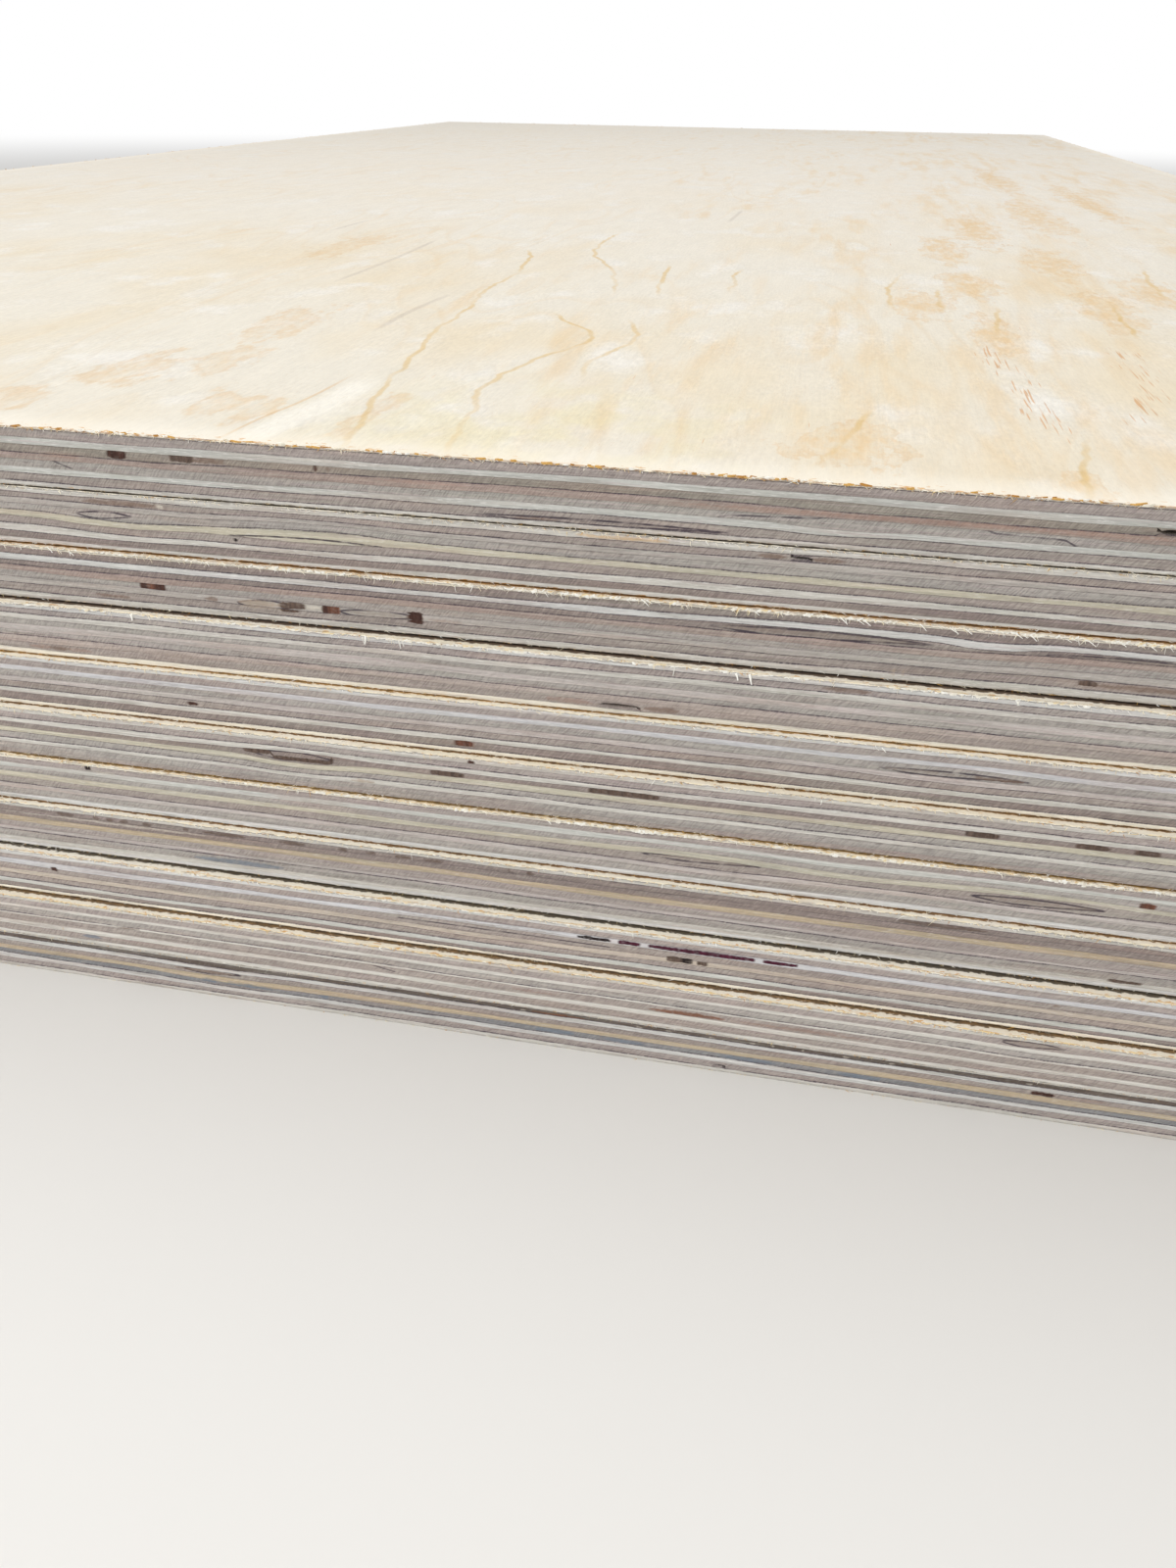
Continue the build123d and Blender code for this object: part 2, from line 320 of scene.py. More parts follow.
def add(tree, kind, inputs, out=0, **settings):
    """Adds a shader node with its settings, values and links, and returns one of its outputs."""
    made = tree.nodes.new("ShaderNode" + kind)
    for name, value in settings.items():
        setattr(made, name, value)
    for key, value in inputs.items():
        if isinstance(value, bpy.types.NodeSocket):
            tree.links.new(value, made.inputs[key])
        else:
            made.inputs[key].default_value = value
    return made.outputs[out]


# The sheets' sizes, from the frame

boxes = {number: [[c / MM for c in corner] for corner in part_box(f"sheet_{number:02d}")]
         for number in SHEETS}
top_low, top_high = boxes[max(SHEETS)]
width, length = top_high[0] - top_low[0], top_high[1] - top_low[1]
middle_of_top = (top_low[0] + top_high[0]) / 2
outline_length = 2 * (width + length)

gap_above = {0: 0.0}
for number, (low, high) in boxes.items():
    gap_above[number] = 2 * (high[2] - low[2] - END_THICKNESS) - gap_above[number - 1]


# The skin of a sheet

def ring_rows():
    """Every ring round the edges from the top down: ply, place across the ply from 0 to 1, and how
    far in millimetres it lies below that place and inside the sheet's outline."""
    rows = [(0, 0.0, 0.0, ARRIS)]
    for ply in range(PLIES):
        below = ARRIS if ply == 0 else 0.0
        above = -ARRIS if ply == PLIES - 1 else 0.0
        rows += [(ply, 0.0, below, 0.0), (ply, 0.5, 0.0, 0.0), (ply, 1.0, above, 0.0)]
    rows.append((PLIES - 1, 1.0, 0.0, ARRIS))
    return rows


ROWS = ring_rows()


def blank_skin():
    """A sheet's skin with its rings one unit apart: ring r is at Z = -r, and the caps close it.

    The ring before the first and the one after the last lie where the belt sander's run ends. Points
    lie closest together in the photo's window.
    """
    bm = bmesh.new()
    half_x, half_y = width / 2, length / 2
    corners = [(-half_x, -half_y), (WINDOW[0], -half_y), (WINDOW[1], -half_y), (half_x, -half_y),
               (half_x, half_y), (-half_x, half_y)]
    spacings = [6.0, 1.25, 6.0, 16.0, 7.5, 16.0]
    points = [bm.verts.new((x, y, 0.0)) for x, y in corners]
    sides = [bm.edges.new(pair) for pair in zip(points, points[1:] + points[:1])]
    for side, spacing in zip(sides, spacings):
        cuts = round(side.calc_length() / spacing) - 1
        bmesh.ops.subdivide_edges(bm, edges=[side], cuts=cuts)

    first_ring = list(bm.edges)
    ring = first_ring
    for row in ROWS[1:]:
        ring = next_ring(bm, ring, 0.0)
    bottom = next_ring(bm, ring, SANDING_RUN)
    top = next_ring(bm, first_ring, SANDING_RUN, rise=1.0)
    for rim in (bottom, top):
        bmesh.ops.contextual_create(bm, geom=rim)
    bmesh.ops.recalc_face_normals(bm, faces=bm.faces)
    mesh = bpy.data.meshes.new("blank_skin")
    bm.to_mesh(mesh)
    bm.free()
    return mesh


def next_ring(bm, ring, inset, rise=-1.0):
    """Extrudes a ring of edges by one step down, or up, and draws it in."""
    made = bmesh.ops.extrude_edge_only(bm, edges=ring)["geom"]
    points = [item for item in made if isinstance(item, bmesh.types.BMVert)]
    bmesh.ops.translate(bm, verts=points, vec=(0.0, 0.0, rise))
    if inset:
        bmesh.ops.scale(bm, verts=points, vec=(1 - 2 * inset / width, 1 - 2 * inset / length, 1.0))
    fresh = set(points)
    return [item for item in made
            if isinstance(item, bmesh.types.BMEdge) and item.verts[0] in fresh and item.verts[1] in fresh]


def read(items, name, size=1, whole=False):
    """One property of many mesh items, as an array."""
    values = np.empty(len(items) * size, np.int32 if whole else np.float32)
    items.foreach_get(name, values)
    values = values.astype(int if whole else float)
    return values.reshape(-1, size) if size > 1 else values


def along_outline(x, y, near, right, far):
    """Distance round the sheet from its near left corner, past the near right one."""
    left = outline_length - (y + length / 2)
    s = np.where(far, width + length + (width / 2 - x), left)
    s = np.where(right, width + (y + length / 2), s)
    return np.where(near, x + width / 2, s)


# What is known of every point of the skin: its ring, its ply, its side and its place round the outline
skin = blank_skin()
skin_points = read(skin.vertices, "co", 3)
X, Y = skin_points[:, 0], skin_points[:, 1]
ring_of = np.rint(-skin_points[:, 2]).astype(int)
row_values = np.array(ROWS)[ring_of.clip(0, len(ROWS) - 1)]
ply_of = row_values[:, 0].astype(int)
middle_row = row_values[:, 1] == 0.5
on_edge = (ring_of >= 0) & (ring_of < len(ROWS))
TOUCH = 1e-3
at_near = on_edge & (Y < -length / 2 + TOUCH)
at_far = on_edge & (Y > length / 2 - TOUCH)
at_right = on_edge & (X > width / 2 - TOUCH)
at_left = on_edge & (X < -width / 2 + TOUCH)
long_side = (at_left | at_right) & ~(at_near | at_far)
run = along_outline(X, Y, at_near, at_right, at_far)

# The same of every face and of every corner of a face, which belongs to one side alone
face_centres = read(skin.polygons, "center", 3)
face_ring = -face_centres[:, 2]
face_is_edge = (face_ring > 0) & (face_ring < len(ROWS) - 1)
face_near = face_is_edge & (face_centres[:, 1] < -length / 2 + TOUCH)
face_far = face_is_edge & (face_centres[:, 1] > length / 2 - TOUCH)
face_right = face_is_edge & (face_centres[:, 0] > width / 2 - TOUCH)
face_left = face_is_edge & ~face_near & ~face_far & ~face_right
face_run = along_outline(face_centres[:, 0], face_centres[:, 1], face_near, face_right, face_far)
corner_point = read(skin.loops, "vertex_index", whole=True)
face_of_corner = np.repeat(np.arange(len(face_ring)), read(skin.polygons, "loop_total", whole=True))
corner_run = along_outline(X[corner_point], Y[corner_point], face_near[face_of_corner],
                           face_right[face_of_corner], face_far[face_of_corner])


# How the plies of a sheet lie

def wander(s, wavelength, chance):
    """A smooth random wave along the outline, about one high, that closes on itself."""
    total = np.zeros_like(s)
    for octave in range(5):
        pitch = 0.45 + 0.55 * octave * chance.uniform(0.8, 1.2)
        turns = max(1, round(outline_length / wavelength * pitch))
        phase = chance.uniform(0, 2 * math.pi)
        total += np.sin(2 * math.pi * turns * s / outline_length + phase) / (1.0 + 0.6 * octave)
    return total / 1.6


def near_run(number, x):
    """Distance along the outline of a place measured to the right of the top sheet's middle."""
    middle = (boxes[number][0][0] + boxes[number][1][0]) / 2
    return x - (middle - middle_of_top) + width / 2


def ply_boundaries(number, chance):
    """Depth of the ten faces of the nine plies below the sheet's top, at every point."""
    thicknesses = [thickness for thickness, tone in LAY_UPS[number]]
    nominal = np.concatenate([[0.0], np.cumsum(thicknesses)]) * END_THICKNESS / sum(thicknesses)
    depths = np.empty((PLIES + 1, len(run)))
    shared = wander(run, SHARED_WAVES[0], chance)
    for k in range(PLIES + 1):
        looseness = math.sin(math.pi * k / PLIES)
        depths[k] = nominal[k] + SHARED_WAVES[1] * looseness * shared
        if 0 < k < PLIES:
            own_height = PLY_WAVES[1] * min(thicknesses[k - 1:k + 1])
            depths[k] += own_height * wander(run, PLY_WAVES[0], chance)
            depths[k] += RIPPLES[1] * wander(run, RIPPLES[0], chance)
    for x, half_length, depth, up, down in BENDS[number]:
        bell = np.exp(-np.abs((run - near_run(number, x)) / half_length) ** 3)
        for k in range(1, PLIES):
            if nominal[k] < depth:
                depths[k] -= up * bell * nominal[k] / depth
            else:
                depths[k] += down * bell * (END_THICKNESS - nominal[k]) / (END_THICKNESS - depth)
    return depths


def unmeasured_places(number, spacing, chance):
    """Random places round the outline, outside the measured stretch."""
    low, high = near_run(number, MEASURED[0]) - 40, near_run(number, MEASURED[1]) + 30
    places = chance.uniform(0, outline_length, round(outline_length / spacing))
    return [s for s in places if not low < s < high]


def faces_at(depths, place):
    """Depths of the ten faces of the plies at one place along the outline."""
    return depths[:, int(np.argmin(np.abs(run - place)))]


def ply_around(depths, place, depth):
    """The ply that lies at a depth, at a place along the outline."""
    ply = int(np.searchsorted(faces_at(depths, place), depth) - 1)
    return min(max(ply, 0), PLIES - 1)


def lap_paths(number, depths, chance):
    """The laps of a sheet, each as points of distance along the outline and depth."""
    paths = [[(near_run(number, x), z) for x, z in path] for path in LAPS.get(number, ())]
    for place in unmeasured_places(number, 330.0, chance):
        ply = int(chance.integers(1, PLIES - 1))
        start, end = faces_at(depths, place)[ply:ply + 2]
        reach = chance.uniform(7, 30)
        if chance.random() < 0.5:
            start, end = end, start
        paths.append([(place, start), (place + 0.6 * reach, (start + end) / 2), (place + reach, end)])
    return paths


def lenses_of(number, depths, chance):
    """The patches and swellings of a sheet: start and end along the outline, top and bottom."""
    lenses = [(near_run(number, left), near_run(number, right), top, bottom)
              for left, right, top, bottom in LENSES.get(number, ())]
    for place in unmeasured_places(number, 260.0, chance):
        ply = int(chance.integers(1, PLIES - 1))
        top, bottom = faces_at(depths, place)[ply:ply + 2]
        lenses.append((place, place + chance.uniform(14, 60), top + 0.2, bottom - 0.2))
    return lenses


def draw_laps(number, depths, chance):
    """Upper and lower dark line inside each point's ply, and how strongly they show."""
    upper = depths[ply_of, np.arange(len(run))]
    lower = upper.copy()
    strength = np.zeros(len(run))
    for path in lap_paths(number, depths, chance):
        places, levels = zip(*path)
        middle = sum(places) / len(places)
        ply = ply_around(depths, middle, float(np.interp(middle, places, levels)))
        inside = on_edge & (ply_of == ply) & (run > places[0] - 4) & (run < places[-1] + 4)
        upper[inside] = lower[inside] = np.interp(run[inside], places, levels)
        strength[inside & (run > places[0] - 0.5) & (run < places[-1] + 0.5)] = 0.7
    for start, end, top, bottom in lenses_of(number, depths, chance):
        ply = ply_around(depths, (start + end) / 2, (top + bottom) / 2)
        inside = on_edge & (ply_of == ply) & (run > start - 4) & (run < end + 4)
        t = ((run[inside] - start) / (end - start)).clip(0, 1)
        swell = np.sin(math.pi * t ** 0.8)
        middle = (top + bottom) / 2 + 0.15 * np.sin(6 * t)
        upper[inside] = middle - swell * (bottom - top) / 2
        lower[inside] = middle + swell * (bottom - top) / 2
        strength[inside & (run > start) & (run < end)] = 1.0
    return np.stack([upper, lower, strength], 1)


def spots_of(number, chance):
    """The knots and other spots of a sheet: start and end along the outline, top, bottom and kind."""
    spots = [(near_run(number, left), near_run(number, right), top, bottom, kind)
             for left, right, top, bottom, kind in SPOTS[number]]
    for place in unmeasured_places(number, 95.0, chance):
        kind = str(chance.choice(["knot", "bark", "brown", "shade", "shade", "russet", "blue", "filler"]))
        top = chance.uniform(1.5, 15.0)
        spots.append((place, place + chance.uniform(3, 28), top, top + chance.uniform(1.0, 1.8), kind))
    return spots


def paint_spots(number, depths, chance):
    """Colour and cover of the knots, streaks and patches at every point, and their upper and lower
    limit in its ply with whether they have upright fibres."""
    tint = np.zeros((len(run), 4))
    upright = np.zeros(len(run))
    upper = depths[ply_of, np.arange(len(run))]
    lower = upper.copy()
    for start, end, top, bottom, kind in spots_of(number, chance):
        faces = faces_at(depths, (start + end) / 2)
        colour, cover = STAINS[kind]
        stands = kind in UPRIGHT_STAINS
        bluntness, spill = (0.14, 0.2) if stands else (0.45, 0.0)
        for ply in range(PLIES):
            high, low = max(top, faces[ply]), min(bottom, faces[ply + 1])
            if low - high < THINNEST_SPOT:
                continue
            high, low = high - spill, low + spill
            free = on_edge & (ply_of == ply) & (tint[:, 3] == 0)
            inside = free & (run > start - 2) & (run < end + 2)
            t = ((run[inside] - start) / (end - start)).clip(0, 1)
            swell = ((0.02 + np.sin(math.pi * t)) / 1.02) ** bluntness
            upper[inside] = (high + low) / 2 - swell * (low - high) / 2
            lower[inside] = (high + low) / 2 + swell * (low - high) / 2
            tint[inside, :3] = linear(colour)[:3]
            upright[inside] = stands
            tint[free & (run > start) & (run < end), 3] = cover
    return tint, np.stack([upper, lower, upright], 1)


# One sheet as a mesh

def write_attribute(mesh, name, values):
    """Stores a value, three values or a colour for every point, or for every corner of a face."""
    size = values.size // len(values)
    kind, field = {1: ("FLOAT", "value"), 3: ("FLOAT_VECTOR", "vector"), 4: ("FLOAT_COLOR", "color")}[size]
    domain = "POINT" if len(values) == len(mesh.vertices) else "CORNER"
    attribute = mesh.attributes.new(name, kind, domain)
    attribute.data.foreach_set(field, np.ascontiguousarray(values, np.float32).ravel())


def write_map(mesh, name, places):
    """Stores a UV map."""
    mesh.uv_layers.new(name=name).data.foreach_set("uv", places.astype(np.float32).ravel())


def picture_places(number, depth):
    """Where each corner of each face lies in the baked picture, from its lower left."""
    rows = TOP_SHEET_ROWS if number == max(SHEETS) else PICTURE_ROWS
    wide = PICTURE - 2 * PICTURE_MARGIN
    places = np.zeros((len(corner_point), 2))
    level = PICTURE_MARGIN / 2
    for name, faces, start, reach in (("near", face_near, 0.0, width), ("right", face_right, width, length),
                                      ("far", face_far, width + length, width),
                                      ("left", face_left, 2 * width + length, length)):
        folds, tall = rows[name]
        here = faces[face_of_corner]
        row = ((face_run - start) / reach * folds).astype(int).clip(0, folds - 1)[face_of_corner][here]
        along = corner_run[here] - start - row * reach / folds + PICTURE_OVERHANG
        places[here, 0] = PICTURE_MARGIN + along / (reach / folds + 2 * PICTURE_OVERHANG) * wide
        down = depth[corner_point[here]] / END_THICKNESS * tall
        places[here, 1] = level + row * (tall + PICTURE_MARGIN) + down
        level += folds * (tall + PICTURE_MARGIN)
    for name, faces in (("top", face_ring < 0), ("bottom", face_ring > len(ROWS) - 1)):
        here = faces[face_of_corner]
        points = corner_point[here]
        places[here, 0] = PICTURE_MARGIN + (Y[points] / length + 0.5) * wide
        places[here, 1] = level + (X[points] / width + 0.5) * rows[name]
        level += rows[name] + PICTURE_MARGIN
    return np.stack([places[:, 0], PICTURE - places[:, 1]], 1) / PICTURE


def sawn_surface(number, depths, chance):
    """How far each point lies below the sheet's top and inside its outline, and the ply of each corner.

    The saw tears a ply back where it cuts along its grain: the even plies at the ends and the odd inner
    ones along the sides. It also chips the upper arris.
    """
    count = len(run)
    picks = np.arange(count)
    top_face = depths[ply_of, picks] + np.where(ply_of == 0, 0.0, GLUE_LINE / 2)
    bottom_face = depths[ply_of + 1, picks] - np.where(ply_of == PLIES - 1, 0.0, GLUE_LINE / 2)
    z = top_face + row_values[:, 1] * (bottom_face - top_face) + row_values[:, 2]

    torn = np.where(long_side, ply_of % 2 == 0, ply_of % 2 == 1) & (ply_of > 0) & (ply_of < PLIES - 1)
    setback = np.where(torn, TORN_PLY_SETBACK, 0.0) + np.where(middle_row, 0.0, GLUE_SETBACK)
    setback += row_values[:, 3] + np.abs(chance.normal(0, SAW_ROUGHNESS, count))
    setback += SAW_WAVES[1] * (1 + wander(run + 40 * ply_of, SAW_WAVES[0], chance))
    arris_chips = np.where(chance.random(count) < 0.3, chance.uniform(0.1, 0.5, count), 0.0)
    setback += np.where(ring_of <= 1, arris_chips, 0.0)

    corner_ply = ply_of[corner_point]
    for x, depth, gap_length, gap_height in CORE_GAPS.get(number, ()):
        place = near_run(number, x)
        ply = ply_around(depths, place, depth)
        opening = 1 - ((run - place) / (gap_length / 2)) ** 2
        mouth = at_near & (ply_of == ply) & (opening > 0)
        setback[mouth & middle_row] = CORE_GAP_DEPTH * np.sqrt(opening[mouth & middle_row])
        centre = (top_face[mouth] + bottom_face[mouth]) / 2
        z[mouth] = centre + (row_values[mouth, 1] - 0.5) * gap_height * np.sqrt(opening[mouth])
        round_mouth = face_near & (np.abs(face_run - place) < gap_length / 2 + 1.3)
        round_mouth &= (np.abs(face_ring - 3 * ply - 0.5) < 0.1) | (np.abs(face_ring - 3 * ply - 3.5) < 0.1)
        corner_ply[round_mouth[face_of_corner]] = ply
    return z, setback, corner_ply


def end_top(number):
    """The height of a sheet's top at its sanded ends."""
    return boxes[number][1][2] - gap_above[number] / 2


def points_in_stack(number, z, setback):
    """Where each point of a sheet lies in the stack. Along its middle it is thicker by half of the gap
    that opens over and under its ends."""
    low, high = boxes[number]
    x = X + (low[0] + high[0]) / 2 + np.where(at_left, setback, 0) - np.where(at_right, setback, 0)
    y = Y + (low[1] + high[1]) / 2 + np.where(at_near, setback, 0) - np.where(at_far, setback, 0)
    height = end_top(number) - z
    height[ring_of < 0] = high[2]
    height[ring_of >= len(ROWS)] = low[2]
    from_end = np.minimum(1, (length / 2 - np.abs(Y)) / SANDING_RUN)
    down = z / END_THICKNESS
    thicker = gap_above[number] / 2 * (1 - down) - gap_above[number - 1] / 2 * down
    height += np.where(long_side, from_end, 0.0) * thicker
    return np.stack([x, y, height], 1)


def ply_tones(number, corner_ply):
    """The tone of the ply at each corner, and how rough the saw left it."""
    tones = [tone for thickness, tone in LAY_UPS[number]]
    end_tones, side_tones = (np.array([linear(TONES[tone]) for tone in row]) for row in (tones, SIDE_TONES))
    on_long_side = (face_right | face_left)[face_of_corner]
    colour = np.where(on_long_side[:, None], side_tones[corner_ply], end_tones[corner_ply])
    # Partly painted light: the top sheets are made a little darker and the lower ones paler
    colour[:, :3] *= SHEET_TONES_AND_PAINTED_LIGHT.get(number, 1.0)
    end_roughness = np.array([ROUGH_TONES.get(tone, 0.0) for tone in tones])
    colour[:, 3] = np.where(on_long_side, corner_ply % 2 == 0, end_roughness[corner_ply])
    return colour


def glue_lines_of(chance):
    """How near each point lies to a glue line, and how strongly that line shows."""
    glue = np.concatenate([[0.0], chance.choice([0.1, 0.4, 0.85], PLIES - 1, p=[0.4, 0.3, 0.3]), [0.0]])
    strength = np.where(middle_row, (glue[ply_of] + glue[ply_of + 1]) / 2,
                        glue[ply_of + (row_values[:, 1] == 1.0)])
    return np.stack([np.where(middle_row, 0.0, 1.0), strength, 0 * run], 1)


def under_neighbours(number, points):
    """How far inside the outline of the sheet over or under it each point of the faces lies."""
    x, y = points[:, 0], points[:, 1]
    covered = np.full(len(run), -50.0)
    for neighbour, facing in ((number + 1, ring_of <= 0), (number - 1, ring_of >= len(ROWS) - 1)):
        if neighbour in boxes:
            (left, front), (right, back) = (corner[:2] for corner in boxes[neighbour])
            inside = np.minimum.reduce([x - left, right - x, y - front, back - y])
            # Where the joint is open wide, the painted shade in it reaches a little nearer the edge
            wide_open = 0.4 if gap_above[max(neighbour, number) - 1] > 0.5 else 0.0
            covered[facing] = inside[facing] + wide_open
    return covered


def build_sheet(number):
    """One sheet as a mesh, with the attributes that its materials read."""
    chance = np.random.default_rng(100 + number)
    depths = ply_boundaries(number, chance)
    z, setback, corner_ply = sawn_surface(number, depths, chance)
    points = points_in_stack(number, z, setback)
    mesh = skin.copy()
    mesh.name = f"plywood_sheet_{number:02d}"
    mesh.vertices.foreach_set("co", (points * MM).astype(np.float32).ravel())
    mesh.polygons.foreach_set("material_index", (~face_is_edge).astype(np.int32))
    mesh.update()
    write_map(mesh, "SawnEdge", np.stack([corner_run, z[corner_point]], 1))
    write_map(mesh, "OFBake", picture_places(number, z))

    write_attribute(mesh, "ply_tone", ply_tones(number, corner_ply))
    write_attribute(mesh, "laps", draw_laps(number, depths, chance))
    tint, span = paint_spots(number, depths, chance)
    thick, reach = SPECKED_FACE.get(number, (1.0, 2.5))
    # Tones of the painted shade in the joints over and under the faces: the lower arris tone of the sheet
    # above and of this one
    joint_shade = np.array([linear(ARRIS_TONES[sheet][1][0]) for sheet in (min(number + 1, max(SHEETS)), number)])
    arrises = np.array([linear(tone)[:3] + [cover] for tone, cover in ARRIS_TONES[number]])
    for name, values in (("spots", tint), ("spot_span", span), ("glue_line", glue_lines_of(chance)),
                         ("near_arris", np.where(on_edge, thick, thick - SANDING_RUN / reach)),
                         ("covered", under_neighbours(number, points)),
                         ("joint_shade_tone", joint_shade[(ring_of > 0).astype(int)]),
                         ("arris_tone", arrises[(ply_of > PLIES // 2).astype(int)]),
                         ("ply_number", number * 20.0 + ply_of)):
        write_attribute(mesh, name, values)
    lip = TORN_LIPS.get(number, 0.2) * (0.75 + 0.25 * wander(run, 45.0, chance))
    write_attribute(mesh, "torn_lip", lip)
    return mesh


# Torn fibres along the arrises

def fibre_shape(segments, tip=0.0):
    """One tapered splinter, one long and one wide, with three sides; base at the origin, tip at Z = 1."""
    bm = bmesh.new()
    bmesh.ops.create_cone(bm, cap_ends=True, segments=3, radius1=0.5, radius2=tip, depth=1.0)
    bmesh.ops.translate(bm, verts=bm.verts, vec=(0.0, 0.0, 0.5))
    if segments > 1:
        upright = [edge for edge in bm.edges if abs(edge.verts[0].co.z - edge.verts[1].co.z) > 0.5]
        bmesh.ops.subdivide_edges(bm, edges=upright, cuts=segments - 1, use_grid_fill=True)
    bmesh.ops.remove_doubles(bm, verts=bm.verts, dist=1e-5)
    bmesh.ops.triangulate(bm, faces=bm.faces)
    bmesh.ops.recalc_face_normals(bm, faces=bm.faces)
    points = np.array([vert.co[:] for vert in bm.verts])
    faces = np.array([[vert.index for vert in face.verts] for face in bm.faces])
    bm.free()
    return points, faces


SPLINTER = fibre_shape(3, 0.16)
FLAKE = fibre_shape(2, 0.4)
FUZZ = fibre_shape(1)


def tones_of(*names):
    """The numbers of some fibre tones."""
    return [list(FIBRE_TONES).index(name) for name in names]


def on_outline(number, s):
    """Places on a sheet's outline in the stack, and the directions along it and outwards."""
    low, high = boxes[number]
    centre = np.array([(low[0] + high[0]) / 2, (low[1] + high[1]) / 2])
    s = np.mod(s, outline_length)
    starts = np.array([0.0, width, width + length, 2 * width + length])
    side = np.searchsorted(starts, s, side="right") - 1
    corners = np.array([(-width, -length), (width, -length), (width, length), (-width, length)]) / 2
    ahead = np.array([(1, 0), (0, 1), (-1, 0), (0, -1)], float)[side]
    outwards = np.array([(0, -1), (1, 0), (0, 1), (-1, 0)], float)[side]
    return centre + (corners[side] + ahead * (s - starts[side])[:, None]), ahead, outwards


def pointing(ahead, outwards, along, out, up):
    """Unit directions, from how far each fibre reaches along the arris, outwards and up."""
    flat = outwards * np.reshape(out, (-1, 1)) + ahead * np.reshape(along, (-1, 1))
    axes = np.column_stack([flat, np.broadcast_to(up, len(flat))])
    return axes / np.linalg.norm(axes, axis=1)[:, None]


def scatter(shape, roots, axes, lengths, widths, bends, kinds, flat=0.6, curl=0.0, facing=None, tip=None):
    """Copies of one fibre shape, each on its own root, axis and size, as points, faces, colours and
    places in the baked picture.

    Kinds are the numbers of their tones, facing is the way that the flat side of each looks, and tip the
    number of the tone that they turn towards their tips.
    """
    points, faces = shape
    table = np.array([linear(tone) for tone in FIBRE_TONES.values()])
    tones = table[kinds]
    tips = tones if tip is None else np.tile(table[tip], (len(kinds), 1))
    cell = kinds if tip is None else kinds + len(FIBRE_TONES)
    helper = np.where(np.abs(axes[:, 2:]) < 0.9, [[0.0, 0.0, 1.0]], [[1.0, 0.0, 0.0]])
    sideways = np.cross(helper if facing is None else facing, axes)
    sideways /= np.linalg.norm(sideways, axis=1)[:, None]
    third = np.cross(axes, sideways)
    px, py, pz = points[:, 0], points[:, 1], points[:, 2]
    tall, wide = lengths[:, None], widths[:, None]
    placed = (roots[:, None]
              + axes[:, None] * (tall * pz)[..., None]
              + sideways[:, None] * (wide * px + (bends * lengths)[:, None] * pz ** 2)[..., None]
              + third[:, None] * (flat * wide * py - curl * tall * pz ** 2)[..., None])
    offsets = np.arange(len(roots))[:, None, None] * len(points)
    colours = tones[:, None] + (tips - tones)[:, None] * (pz ** 2)[None, :, None]
    filled = FIBRE_CELL - FIBRE_CELL_GAP
    across_cell = PICTURE_MARGIN + cell[:, None] * FIBRE_CELL + (px + 0.5)[None] * filled
    up_cell = np.broadcast_to(PICTURE - FIBRE_LEVEL - (1 - pz)[None] * filled, across_cell.shape)
    picture = np.stack([across_cell, up_cell], 2) / PICTURE
    return (placed.reshape(-1, 3), (faces[None] + offsets).reshape(-1, 3), colours.reshape(-1, 4),
            picture.reshape(-1, 2))


def window_and_round(number, in_window, elsewhere, chance):
    """Random distances round the outline: so many to a millimetre in the photo's window, and then so
    many all the way round."""
    low, high = near_run(number, WINDOW[0]), near_run(number, WINDOW[1])
    return np.concatenate([chance.uniform(low, high, round(in_window * (high - low))),
                           chance.uniform(0, outline_length, round(elsewhere * outline_length))])


def fuzz(number, at_top, chance):
    """Short fibres that stand out of the upper or the lower arris all the way round."""
    low, high = near_run(number, WINDOW[0]), near_run(number, WINDOW[1])
    stretches = [(low, high, 1.7), (0.0, low, 0.5), (high, width, 0.5), (width, width + length, 0.1),
                 (width + length, 2 * width + length, 0.4), (2 * width + length, outline_length, 0.1)]
    s = np.concatenate([chance.uniform(first, last, round((last - first) * to_a_mm))
                        for first, last, to_a_mm in stretches])
    s = s if at_top else s[::3]
    count = len(s)
    place, ahead, outwards = on_outline(number, s)
    depth = chance.uniform(0.05, 0.5, count) if at_top else END_THICKNESS - chance.uniform(0.05, 0.4, count)
    roots = np.column_stack([place - outwards * 0.35, end_top(number) - depth])
    along = chance.uniform(-1.9, 1.9, count)
    up = chance.uniform(-0.9 if at_top else -0.7, 0.3, count)
    axes = pointing(ahead, outwards, along, chance.uniform(0.25, 0.8, count), up)
    lengths = 0.4 + chance.gamma(1.6, 0.36, count)
    widths = chance.uniform(0.15, 0.4, count)
    bends = chance.uniform(-0.4, 0.4, count)
    gold = GOLD_SHARES.get(number, 0.3)
    shares = np.array(FUZZ_SHARES) * np.where([tone in GOLD_TONES for tone in FIBRE_TONES], gold, 1 - gold)
    kinds = chance.choice(len(FIBRE_TONES), count, p=shares / shares.sum())
    return scatter(FUZZ, roots, axes, lengths, widths, bends, kinds)


